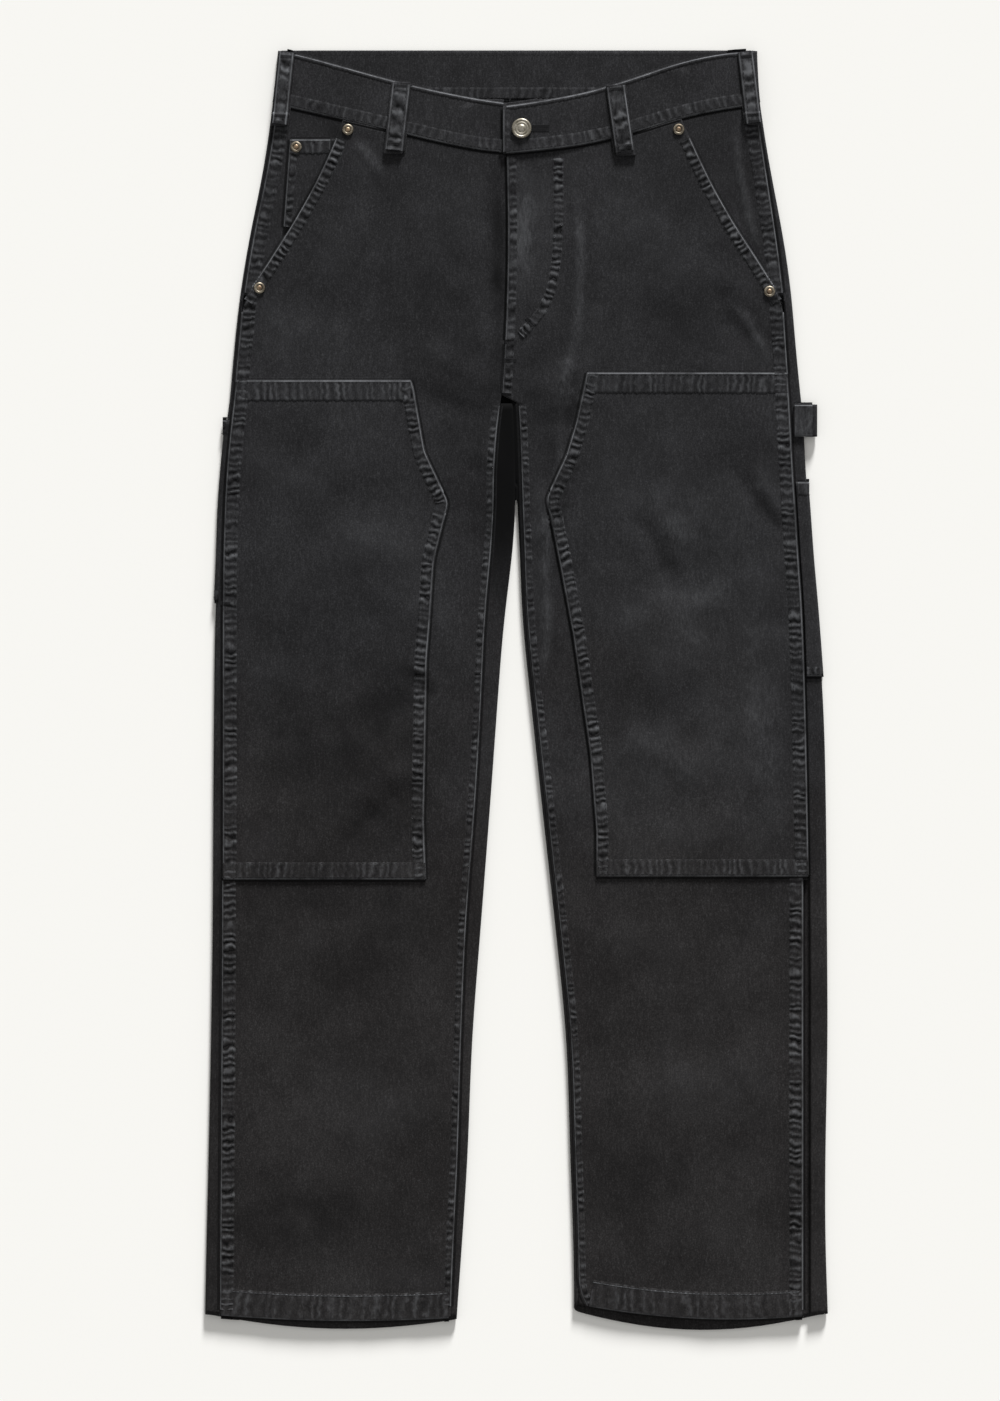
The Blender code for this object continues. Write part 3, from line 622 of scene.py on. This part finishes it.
def smoothLine(points, step):
    # Evenly spaced points and directions along a rounded line
    points = np.array(points, float)
    for _ in range(2):
        middle = points[1:-1] * 0.5 + (points[:-2] + points[2:]) * 0.25
        points = np.vstack([points[:1], middle, points[-1:]])
    lengths = np.concatenate([[0], np.cumsum(np.hypot(*np.diff(points, axis=0).T))])
    count = max(2, round(lengths[-1] / step))
    along = np.linspace(0, lengths[-1], count + 1)
    x = np.interp(along, lengths, points[:, 0])
    y = np.interp(along, lengths, points[:, 1])
    heading = np.array([np.gradient(x), np.gradient(y)])
    heading /= np.hypot(*heading)
    return x, y, heading, along


seamLook = {
    "step": 1.25,
    "across": 0.95,
    "raise": 0.45,
    "rope": 0.42,
    "pitch": 6.2,
    "sink": 0.45,
    "roll": 1.0,
    "outside": 2.9,
    "edge": True,
    "both": False,
    "dark": 0.0,
    "glow": 0.0,
    "shadow": 0.75,
    "lift": 0.0,
    "wearAndHighlight": 1.0,
    "ropes": 1.0,
    "skew": 0.1,
    "looseHeight": 4.4,
    "looseDrop": 1.4,
}
seamRim = (-2.1, -1.3, -0.7, -0.3, 0.1, 0.5, 1.0, 1.6)  # distances of the close rows along a rolled edge
seams = {}
finishes = {
    "panel": (panelCloth, "panel_cloth"),
    "patch": (patchCloth, "patch_cloth"),
    "band": (bandCloth, "band_cloth"),
}


def seamStrip(name, line, inward, width, over, finish="panel", **change):
    # A doubled, puckered strip of cloth along a seam; inward is 1 when its cloth lies left of the line.
    # A strip with an edge rolls over there and carries a line of lower cloth outside it, darkened as
    # painted shadow.
    look = dict(seamLook, seed=len(seams) * 1.37)
    look.update(change)
    x, y, heading, along = smoothLine(line, look["step"])
    start = -look["outside"] if look["edge"] else -1.2
    rim = [start, *seamRim] if look["edge"] else [start]
    columns = len(rim) + max(4, round((width - rim[-1]) / look["across"])) - 1
    distances = np.append(rim[:-1], np.linspace(rim[-1], width, columns + 2 - len(rim)))
    shape = bmesh.new()
    bmesh.ops.create_grid(shape, x_segments=columns, y_segments=len(x) - 1, size=0.5)
    order = sorted(shape.verts, key=lambda vertex: (round(vertex.co.y, 5), vertex.co.x))
    seed = look["seed"]
    strength = 0.8 + 0.6 * wobble(along * 1.1, seed) + 0.35 * wobble(along * 4.1, seed + 2)
    strength = np.clip(strength, 0.2, 1.3)
    phase = along / look["pitch"] * 2 * math.pi + 2.8 * wobble(along * 1.6, seed + 1.7)
    paleness = 0.8 + 0.5 * wobble(along * 0.55, seed + 4.0) + 0.35 * wobble(along * 3.3, seed)
    paleness = np.clip(paleness, 0.3, 1.2)
    fade = ease(distances / 1.2) * ease((width - distances) / 2.4)
    ropeBand = ease((distances - 0.8) / 1.6) * ease((width + 0.6 - distances) / 2.6)
    if look["both"]:
        fade = ease(distances / 1.2) * ease((width - distances) / 1.2)
        ropeBand = ease((distances - 1.5) / 2.0) * ease((width - 1.5 - distances) / 2.0)
    if not look["edge"]:
        fade = ease((distances - start) / 1.8) * ease((width - distances) / 1.8)
        ropeBand = fade
    wearAndHighlights = np.zeros(len(order))
    paintedShades = np.zeros(len(order))
    for index, vertex in enumerate(order):
        row, column = divmod(index, columns + 1)
        distance = distances[column]
        acrossX, acrossY = -heading[1][row] * inward, heading[0][row] * inward
        inside = max(distance, 0.7) if distance > -0.4 or not look["edge"] else distance
        inside = min(inside, width)
        height, _ = topAt(x[row] + acrossX * inside, y[row] + acrossY * inside, over)
        if height is None:
            height = topAt(x[row] + acrossX, y[row] + acrossY, over)[0] or look["looseHeight"]
            height -= look["looseDrop"] if distance < 0 else 0.0
        ragged = noise.noise((along[row] / 7, distance / 5, seed * 3))
        wave = math.sin(phase[row] + distance * look["skew"] + 2.2 * ragged)
        crinkle = noise.noise((along[row] / 3.5, distance / 3.5, seed + 7))
        wave = wave * (0.85 + 0.5 * crinkle) + 0.3 * ragged
        bump = look["rope"] * look["ropes"] * strength[row] * wave * ropeBand[column]
        farEdge = 1 - float(ease((width - distance) / (1.1 if look["both"] else 1.8)))
        fall = look["roll"] if look["both"] else look["sink"]
        rise = look["raise"] * fade[column] + bump - fall * farEdge
        if look["edge"] and distance <= -0.4:
            rise = 0.12 if distance > start + 0.1 else -0.3
        elif look["edge"]:
            rise -= look["roll"] * (1 - float(ease((distance + 0.4) / 1.1)))
        else:
            rise -= look["sink"] * (1 - float(ease((distance - start) / 1.6)))
        level = height + rise + look["lift"]
        vertex.co = Vector((x[row] + acrossX * distance, y[row] + acrossY * distance, level)) * mm
        edge = math.exp(-((distance - 0.3) / 0.6) ** 2) if look["edge"] and distance > -0.2 else 0.0
        if look["both"]:
            edge = max(edge, math.exp(-((width - 0.35 - distance) / 0.75) ** 2))
        # Pale rolled edge as wear; rope peaks paler as wear and painted highlight
        peak = max(0.0, wave - 0.2) * ropeBand[column] * strength[row] * look["ropes"]
        wearAndHighlights[index] = look["wearAndHighlight"] * (1.05 * edge * paleness[row] + 0.48 * peak + 0.02 * fade[column])
        wearAndHighlights[index] += look["glow"] * fade[column] * paleness[row]
        # Rope valleys darker as painted shade
        paintedShades[index] = 1.1 * max(0.0, -wave - 0.1) * ropeBand[column] * strength[row] * look["ropes"]
        # Painted shadow on the lower cloth outside a rolled edge
        if look["edge"] and distance < -0.2:
            share = 1.0 if distance < -0.5 else 0.6
            paintedShades[index] = look["shadow"] * float(ease((distance - start) / 1.3)) * share
        # Where dark is set, the whole strip is painted shade
        paintedShades[index] = max(paintedShades[index], look["dark"])
    values = dict(zip(order, zip(wearAndHighlights, paintedShades)))
    pairs = [values[vertex] for vertex in shape.verts]
    mesh = meshOf(shape, name)
    writeAttribute(mesh, "wearAndHighlight", [pair[0] for pair in pairs])
    writeAttribute(mesh, "shadeAndDarkTone", [pair[1] for pair in pairs])
    material, slot = finishes[finish]
    seams[name] = newPiece(name, mesh, material)
    remember(name, mesh)
    return name


stitchLook = {"length": 2.5, "gap": 1.0, "radius": 0.26, "sink": 0.06}
stitchPlaces = {}


def stitches(group, line, inward, offset, over, **change):
    # A row of small raised stitches beside a line
    look = dict(stitchLook)
    look.update(change)
    x, y, heading, _ = smoothLine(line, look["length"] + look["gap"])
    places = stitchPlaces.setdefault(group, [])
    for row in range(len(x)):
        px = x[row] - heading[1][row] * inward * offset
        py = y[row] + heading[0][row] * inward * offset
        height, normal = topAt(px, py, over)
        if height is None:
            continue
        forward = Vector((heading[0][row], heading[1][row], 0))
        forward = (forward - normal * forward.dot(normal)).normalized()
        sideways = normal.cross(forward)
        turn = Matrix((forward, sideways, normal)).transposed().to_4x4()
        place = Matrix.Translation(Vector((px, py, height - look["sink"])) * mm)
        size = Matrix.Diagonal(Vector((look["length"] / 2, look["radius"], look["radius"], 1)))
        places.append(np.array(place @ turn @ size))


def sewStitches():
    # Each group is one mesh, joined from copies of a single stitch
    single = bmesh.new()
    lying = Matrix.Rotation(math.pi / 2, 4, "Y")
    bmesh.ops.create_uvsphere(single, u_segments=6, v_segments=4, radius=mm, matrix=lying)
    corners = np.array([tuple(vertex.co) + (1.0,) for vertex in single.verts])
    faces = [[vertex.index for vertex in face.verts] for face in single.faces]
    single.free()
    for group, places in stitchPlaces.items():
        points = np.concatenate([(place @ corners.T).T[:, :3] for place in places])
        joined = []
        for index in range(len(places)):
            joined += [[corner + index * len(corners) for corner in face] for face in faces]
        mesh = bpy.data.meshes.new(group)
        mesh.from_pydata(points.tolist(), [], joined)
        newPiece(group, mesh, thread)
    print("stitches sewn:", sum(len(places) for places in stitchPlaces.values()))


tackLook = {"pitch": 0.75, "radius": 0.34}


def tack(group, x, y, turn, length, over, width=2.0):
    # A bar tack: close stitches across a short line
    reachX, reachY = math.cos(turn) * length / 2, math.sin(turn) * length / 2
    sideX, sideY = -math.sin(turn) * width / 2, math.cos(turn) * width / 2
    count = round(length / tackLook["pitch"])
    for index in range(count + 1):
        share = index / count * 2 - 1
        cx, cy = x + reachX * share, y + reachY * share
        line = [(cx - sideX, cy - sideY), (cx, cy), (cx + sideX, cy + sideY)]
        look = {"length": width, "gap": width * 3, "radius": tackLook["radius"], "sink": 0.0}
        stitches(group, line, 1, 0.0, over, **look)


# The kinds of seam: strip width, offsets of the stitch rows, and what differs from seamLook
sideSeam = {"width": 13.0, "rows": (2.2, 9.6)}
seamKinds = {
    "hipSeam": dict(sideSeam, ropes=0.7),
    "thighSeam": dict(sideSeam, ropes=0.9),
    "kneeSeam": dict(sideSeam, finish="patch", ropes=0.9),
    "shinSeam": dict(sideSeam, ropes=1.1),
    "inseam": dict(width=7.5, rows=(1.8, 5.2), ropes=0.8),
    "mouthFold": dict(width=10.5, rows=(2.4, 8.6), ropes=1.2, wearAndHighlight=1.2, pitch=5.6, shadow=0.5),
    "patchEdge": dict(width=11.5, rows=(2.2, 9.4), finish="patch", ropes=1.05, wearAndHighlight=1.05, pitch=6.0),
    "patchTop": dict(width=18.5, rows=(2.0, 16.8), finish="patch", ropes=0.45, lift=0.06, shadow=0.45),
    "patchBase": dict(width=15.5, rows=(2.0, 13.8), finish="patch", ropes=0.45, lift=0.06),
    "hem": dict(width=24.0, ropes=0.4, wearAndHighlight=0.9, lift=0.06, pitch=9.0, shadow=0.4),
    "hemLine": dict(width=1.6, edge=False, ropes=0.3, glow=1.0),
    "waistSeam": dict(width=12.0, rows=(2.2,), finish="band", ropes=0.4, pitch=6.8, shadow=0.9),
    "waistEdge": dict(width=4.6, rows=(2.4,), finish="band", ropes=0.2, wearAndHighlight=1.2, shadow=0.1),
    "flyEdge": dict(width=9.0, ropes=0.7, pitch=7.5, wearAndHighlight=1.1, shadow=1.0),
    "crotchSeam": dict(width=9.0, rows=(2.2, 7.0), pitch=8.0, wearAndHighlight=0.8),
    "flyCurve": dict(width=9.0, rows=(0.9, 7.0), edge=False, ropes=1.1, pitch=5.8, wearAndHighlight=1.2),
    # A strip of painted shade between the legs
    "forkShadeStrip": dict(width=4.0, edge=False, ropes=0.0, dark=1.0, wearAndHighlight=0.0),
    "backSeam": dict(width=13.0, rows=(3.0,), finish="band", ropes=0.45, pitch=7.2, wearAndHighlight=0.6, shadow=0.5),
    "bandEnd": dict(width=7.0, rows=(2.6,), finish="band", ropes=0.4, wearAndHighlight=1.2, lift=0.05, shadow=0.9),
    # The buttonhole's slit, painted dark as the shade inside it
    "buttonholeSlit": dict(width=0.3, finish="band", edge=False, ropes=0.0, dark=1.0),
    "coinTop": dict(width=13.5, rows=(2.0, 11.5), finish="patch", ropes=0.55, pitch=6.5),
    "coinSide": dict(width=8.0, rows=(2.0,), finish="patch", ropes=1.1, wearAndHighlight=0.9, pitch=8.0),
    "toolHem": dict(width=12.5, rows=(11.0,), finish="patch", ropes=0.5, wearAndHighlight=0.8),
    "toolBase": dict(width=9.0, rows=(2.0, 7.5), finish="patch", ropes=0.7, wearAndHighlight=0.8),
    "hammerEdge": dict(width=27.0, finish="band", both=True, ropes=0.25, glow=0.07, outside=1.2),
}


def sewSeam(kind, name, line, inward, over, group=""):
    # One strip of a kind, with its rows of stitches in a group
    look = dict(seamKinds[kind])
    rows = look.pop("rows", ())
    strip = seamStrip(kind + "_" + name if name else kind, line, inward, over=over, **look)
    for offset in rows:
        stitches(group, line, inward, offset, [strip])
    return strip


# Where the seams of a leg start and end, as drops, and the waistband's ends as distances out
legLook = {
    "hip": (52, 206),
    "thighTop": 213,
    "shinEnd": 1069,
    "inseam": (302, 1066),
    "mouth": (75, 211),
    "hemDepth": 21.0,
    "hemRow": 21.5,
    "hemStitch": {"length": 2.8, "radius": 0.32},
    "bandStart": {"left": -8.5, "right": 11.0},
    "seamEnd": 194,
    "edgeEnd": 195,
}
for name, side in (("left", left), ("right", right)):
    front, back = "front_" + name, "back_" + name
    facing, patch = "pocket_facing_" + name, "knee_patch_" + name
    top, bottom = dropsOf(patch)
    knee = sideLine(patch, side, "outer", top + 1, bottom - 1)
    shin = sideLine(front, side, "outer", bottom + 1, legLook["shinEnd"])
    runs = {
        "hipSeam": sideLine(facing, side, "outer", *legLook["hip"]),
        "thighSeam": sideLine(front, side, "outer", legLook["thighTop"], top + 1),
        "kneeSeam": knee,
        "shinSeam": shin,
    }
    for kind, line in runs.items():
        sewSeam(kind, name, line, -side, [front, facing, patch, back], "sideStitches_" + name)
    inseam = sideLine(front, side, "inner", *legLook["inseam"])
    sewSeam("inseam", name, inseam, side, [front, back], "inseamStitches_" + name)
    mouth = sideLine(front, side, "outer", *legLook["mouth"], 6.0)
    sewSeam("mouthFold", name, mouth, -side, [front, facing, "coin_pocket"], "mouthStitches_" + name)
    # The knee patch: a slanted edge, a point and a straight edge, then its top and bottom hems
    patchRows = "patchStitches_" + name
    free = sideLine(patch, side, "inner", top + 0.5, bottom - 0.5, 2.5)
    sewSeam("patchEdge", name, free, side, [patch, front], patchRows)
    hem = crossLine(patch, side, "top", abs(free[0][0]) + 0.5, abs(knee[0][0]) - 0.5)
    sewSeam("patchTop", name, hem, -side, [patch, front], patchRows)
    base = crossLine(patch, side, "bottom", abs(free[-1][0]) + 0.5, abs(knee[-1][0]) - 0.5)
    sewSeam("patchBase", name, base, side, [patch, front], patchRows)
    # Hem and waist seams
    leg = crossLine(front, side, "bottom", abs(inseam[-1][0]) + 2, abs(shin[-1][0]) - 1)
    strip = sewSeam("hem", name, leg, side, [front, back])
    hemLine = [(x, y + legLook["hemDepth"]) for x, y in leg]
    strip = sewSeam("hemLine", name, hemLine, side, [strip])
    stitches("hemStitches_" + name, leg, side, legLook["hemRow"], [strip], **legLook["hemStitch"])
    band = "waistband_front_" + name
    waistRows = "waistStitches_" + name
    start = legLook["bandStart"][name]
    seam = crossLine(band, side, "bottom", start, legLook["seamEnd"])
    waist = crossLine(band, side, "top", start, legLook["edgeEnd"])
    sewSeam("waistSeam", name, seam, side, [band, front, facing], waistRows)
    sewSeam("waistEdge", name, waist, -side, [band, "waistband_back"], waistRows)
    print("seams of the", name, "leg laid")

# The fly: the left front's folded edge, the crotch seam below it and the curved double stitching
flyLook = {
    "edge": (91, 246),
    "crotch": (250, 291),
    "curve": [(31.5, 92), (32.5, 130), (32.0, 186), (28.5, 206), (20.0, 221), (9.0, 231), (1.0, 239)],
}
fronts = ["front_left", "front_right"]
flyEdge = sideLine("front_left", left, "inner", *flyLook["edge"])
crotchSeam = sideLine("front_left", left, "inner", *flyLook["crotch"])
flyCurve = [at(left, out, drop) for out, drop in flyLook["curve"]]
sewSeam("flyEdge", "", flyEdge, 1, fronts)
sewSeam("crotchSeam", "", crotchSeam, 1, fronts, "flyStitches")
sewSeam("flyCurve", "", flyCurve, 1, ["front_left"], "flyStitches")

# A strip of painted shade between the legs, where the back panels meet
meeting = {"start": 292.0, "step": 9.0, "count": 11, "aside": 1.4}
forkLine = []
for index in range(meeting["count"]):
    y = waistTop - meeting["start"] - meeting["step"] * index
    folds = reach("back_left", 1, y)[0] + reach("back_right", 1, y)[1]
    forkLine.append((folds / 2 - meeting["aside"], y))
sewSeam("forkShadeStrip", "", forkLine, 1, ["back_left", "back_right"])

# The back waistband's inner seam, seen above the front's top edge, and the stitching along its edge
backSeam = [at(left, out, 43.4) for out in range(78, -79, -6)]
sewSeam("backSeam", "", backSeam, -1, ["waistband_back", "back_left", "back_right"], "waistStitches_back")
backEdge = [at(left, out, 1.0) for out in range(190, -191, -6)]
stitches("waistStitches_back", backEdge, 1, 2.6, ["waistband_back"])

# The waistband's end at the button, and the buttonhole
bandEnd = sideLine("waistband_front_left", left, "inner", 51, 87, 4.0)
sewSeam("bandEnd", "", bandEnd, 1, ["waistband_front_left", "waistband_front_right"], "waistStitches_left")
bandLayers = ["waistband_front_left", "waistSeam_left", "waistEdge_left"]
hole = {"start": 12.5, "end": 27.5, "drop": 67.0, "half": 1.5, "reach": 0.9, "count": 22}
holeStitch = {"length": 1.9, "gap": 9.0, "radius": 0.3, "sink": -0.12}
slit = [at(left, out, hole["drop"]) for out in (hole["start"], 17.0, 22.0, hole["end"])]
sewSeam("buttonholeSlit", "", slit, 1, bandLayers)
for offset in (-hole["half"], hole["half"]):
    row = hole["drop"] + offset
    for index in range(hole["count"]):
        out = hole["start"] + (hole["end"] - hole["start"]) * index / (hole["count"] - 1)
        short = [at(left, out, drop) for drop in (row - hole["reach"], row, row + hole["reach"])]
        stitches("buttonholeStitches", short, 1, 0.0, bandLayers, **holeStitch)

# Coin pocket
coinLayers = ["coin_pocket", "pocket_facing_right"]
coinTop = crossLine("coin_pocket", right, "top", 158, 191.5, 4.0)
sewSeam("coinTop", "", coinTop, 1, coinLayers, "coinStitches")
coinSide = sideLine("coin_pocket", right, "outer", 76.5, 150, 6.0)
sewSeam("coinSide", "", coinSide, 1, coinLayers, "coinStitches")

# Belt loops: both edges rolled and stitched, tacked above and on the folded tab
loopLook = {
    "slant": {"front": 2.4, "side": 0.6},
    "share": {"front": 0.96, "side": 1.0},
    "row": 2.6,
    "tackShare": 0.7,
    "tackWidth": 1.5,
    "face": {
        "finish": "band",
        "ropes": 0.9,
        "wearAndHighlight": 1.3,
        "glow": 0.1,
        "pitch": 12.0,
        "both": True,
        "outside": 1.8,
        "skew": 0.12,
    },
}
for place in ("front", "side"):
    for name, side in (("left", left), ("right", right)):
        node = "belt_loop_" + place + "_" + name
        high, low = dropsOf(node)
        slant = loopLook["slant"][place]
        edge = sideLine(node, side, "inner", high + slant, low - slant, 4.0)
        outer = sideLine(node, side, "outer", high + slant, low - slant, 4.0)
        widths = [abs(a[0] - b[0]) for a, b in zip(edge, outer)]
        width = float(np.mean(widths)) * loopLook["share"][place]
        layers = [node, "waistband_front_" + name]
        face = "loopFace_" + place + "_" + name
        strip = seamStrip(face, edge, side, width, layers, **loopLook["face"])
        for offset in (loopLook["row"], width - loopLook["row"]):
            stitches("loopStitches", edge, side, offset, [strip], radius=0.3)
        for drop in (low - 2.6, low - 8.2, high + 3.6):
            gaps = [abs(waistTop - y - drop) for _, y in edge]
            near = gaps.index(min(gaps))
            x = (edge[near][0] + outer[near][0]) / 2
            length = width * loopLook["tackShare"]
            tack("loopTacks", x, waistTop - drop, 0.08 * side, length, [strip, node], loopLook["tackWidth"])

# Tool pockets: a hem at the top and a seam at the bottom of what shows
toolLook = {"shares": (0.02, 0.3, 0.6, 0.9), "below": 20, "above": 6, "inset": 0.4}
for name, side in (("left", left), ("right", right)):
    node = "tool_pocket_" + name
    high, low = dropsOf(node)
    inner, outer = sorted(abs(value) for value in reach(node, 1, waistTop - high - toolLook["below"]))
    inEnd, outEnd = sorted(abs(value) for value in reach(node, 1, waistTop - low + toolLook["above"]))
    rim, base = [], []
    for share in toolLook["shares"]:
        rim.append(at(side, inner + (outer - inner) * share, high + toolLook["inset"]))
        base.append(at(side, inEnd + (outEnd - inEnd) * share, low - toolLook["inset"]))
    layers = [node, "back_" + name]
    sewSeam("toolHem", name, rim, -side, layers, "toolStitches")
    sewSeam("toolBase", name, base, side, layers, "toolStitches")

# Hammer loop
hammerLook = {
    "tackOuts": (242.6, 249.4),
    "tackDrop": 314.0,
    "rimOuts": (236.0, 241.0, 246.0, 251.0),
    "rowOuts": (237.0, 241.0, 245.0, 249.0),
    "rowInset": 2.2,
}
tackY = waistTop - hammerLook["tackDrop"]
for out in hammerLook["tackOuts"]:
    tack("hammerTacks", left * out, tackY, math.pi / 2, 5.0, ["hammer_loop"], 3.0)
hammerTop, hammerBase = dropsOf("hammer_loop")
loopRim = [at(left, out, hammerTop + 0.2) for out in hammerLook["rimOuts"]]
sewSeam("hammerEdge", "", loopRim, -1, ["hammer_loop"])
for drop in (hammerTop + hammerLook["rowInset"], hammerBase - hammerLook["rowInset"]):
    line = [at(left, out, drop) for out in hammerLook["rowOuts"]]
    stitches("hammerStitches", line, 1, 0.0, ["hammer_loop"])

# Tacks at the crotch, the fly's curve and the right tool pocket: x, drop, turn, length, layers below
flyTacks = [
    (-5.2, 263.5, 0.0, 9.0, ["crotchSeam", "front_left"]),
    (11.0, 231.0, -0.9, 8.0, ["flyCurve", "front_left"]),
    (-247.0, 470.0, 0.0, 8.0, ["back_right", "kneeSeam_right", "tool_pocket_right"]),
]
for x, drop, turn, length, layers in flyTacks:
    tack("flyTacks", x, waistTop - drop, turn, length, layers)
print("small parts laid")
sewStitches()


# Button and rivets, turned from half sections of radius and height
def spunPiece(name, profile, centre, steps, material):
    shape = bmesh.new()
    points = [shape.verts.new(Vector((radius, 0, height)) * mm) for radius, height in profile]
    edges = [shape.edges.new(pair) for pair in zip(points, points[1:])]
    bmesh.ops.spin(
        shape,
        geom=points + edges,
        cent=(0, 0, 0),
        axis=(0, 0, 1),
        angle=2 * math.pi,
        steps=steps,
        use_merge=True,
    )
    bmesh.ops.remove_doubles(shape, verts=shape.verts, dist=0.001 * mm)
    bmesh.ops.recalc_face_normals(shape, faces=shape.faces)
    bmesh.ops.translate(shape, verts=shape.verts, vec=centre)
    return newPiece(name, meshOf(shape, name), material)


buttonShape = {
    "steps": 64,
    "profile": [
        (0.0, 0.1), (7.6, 0.1), (8.3, 0.5), (8.5, 1.2), (8.3, 1.9), (7.7, 2.4), (7.0, 2.55), (6.5, 2.35),
        (6.2, 2.1), (5.6, 2.1), (5.2, 2.35), (4.7, 2.45), (4.2, 2.3), (3.9, 2.15), (3.2, 2.15), (2.8, 2.5),
        (2.2, 2.8), (1.2, 2.95), (0.0, 3.0),
    ],
}
rivetShape = {
    "ringSteps": 40,
    "ring": [
        (0.0, 0.05), (4.4, 0.05), (4.8, 0.35), (4.6, 0.8), (4.0, 1.15), (3.2, 1.25), (2.7, 1.0), (2.5, 0.7),
        (0.0, 0.6),
    ],
    "burrSteps": 28,
    "burr": [(0.0, 0.4), (2.3, 0.45), (2.2, 0.9), (1.7, 1.3), (0.9, 1.5), (0.0, 1.5)],
}


def middle(node):
    low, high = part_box(node)
    return Vector(((low.x + high.x) / 2, (low.y + high.y) / 2, low.z))


disc, steps = buttonShape["profile"], buttonShape["steps"]
button = spunPiece("buttonDisc", disc, middle("button"), steps, buttonMetal)
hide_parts("button")
for number in range(1, 6):
    node = "rivet_" + str(number)
    section, steps = rivetShape["ring"], rivetShape["ringSteps"]
    ring = spunPiece(node + "Ring", section, middle(node), steps, rivetMetal)
    section, steps = rivetShape["burr"], rivetShape["burrSteps"]
    spunPiece(node + "Burr", section, middle(node), steps, burrMetal)
    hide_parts(node)
print("button and rivets made")


# Floor, light and camera
stageLook = {
    "frameHeight": 1190.85,
    "frameCentre": (-14.0, -8.1),
    "distance": 3.2,
    "sensor": 36.0,
    "floor": (0.945, 0.938, 0.908),
    "floorHalf": 40.0,
    "worldColour": (1.0, 0.995, 0.98, 1.0),
    "worldLight": 0.43,
    "sunLight": 6.43,
    "sunHeight": 16.0,
    "sunTurn": -10.0,
    "sunSoftness": 11.0,
}


def floorMaterial():
    make = Maker("paperFloor")
    grain = make.noise(300.0, 2.0)
    colour = stageLook["floor"] + (1.0,)
    shaded = tuple(channel * 0.995 for channel in stageLook["floor"]) + (1.0,)
    make.feed(make.shader.inputs["Base Color"], make.mixColour(grain, shaded, colour))
    make.shader.inputs["Roughness"].default_value = 0.95
    make.shader.inputs["Specular IOR Level"].default_value = 0.1
    return make.material


def makeStage():
    shape = bmesh.new()
    bmesh.ops.create_grid(shape, x_segments=1, y_segments=1, size=stageLook["floorHalf"])
    mesh = meshOf(shape, "floor")
    mesh.materials.append(floorMaterial())
    floor = bpy.data.objects.new("floor", mesh)
    bpy.context.scene.collection.objects.link(floor)
    bpy.context.scene.view_settings.view_transform = "Standard"
    world = bpy.data.worlds.new("studio")
    world.use_nodes = True
    background = world.node_tree.nodes["Background"]
    background.inputs["Color"].default_value = stageLook["worldColour"]
    background.inputs["Strength"].default_value = stageLook["worldLight"]
    bpy.context.scene.world = world
    lamp = bpy.data.lights.new("sun", "SUN")
    lamp.energy = stageLook["sunLight"]
    lamp.angle = math.radians(stageLook["sunSoftness"])
    sun = bpy.data.objects.new("sun", lamp)
    bpy.context.scene.collection.objects.link(sun)
    sun.rotation_euler = (math.radians(stageLook["sunHeight"] - 90), 0, math.radians(stageLook["sunTurn"]))
    lens = bpy.data.cameras.new("camera")
    camera = bpy.data.objects.new("camera", lens)
    bpy.context.scene.collection.objects.link(camera)
    x, y = stageLook["frameCentre"]
    camera.location = (x * mm, y * mm, stageLook["distance"])
    lens.sensor_fit = "VERTICAL"
    lens.sensor_height = stageLook["sensor"]
    lens.lens = stageLook["sensor"] * stageLook["distance"] / (stageLook["frameHeight"] * mm)
    bpy.context.scene.camera = camera


makeStage()
print("stage set")
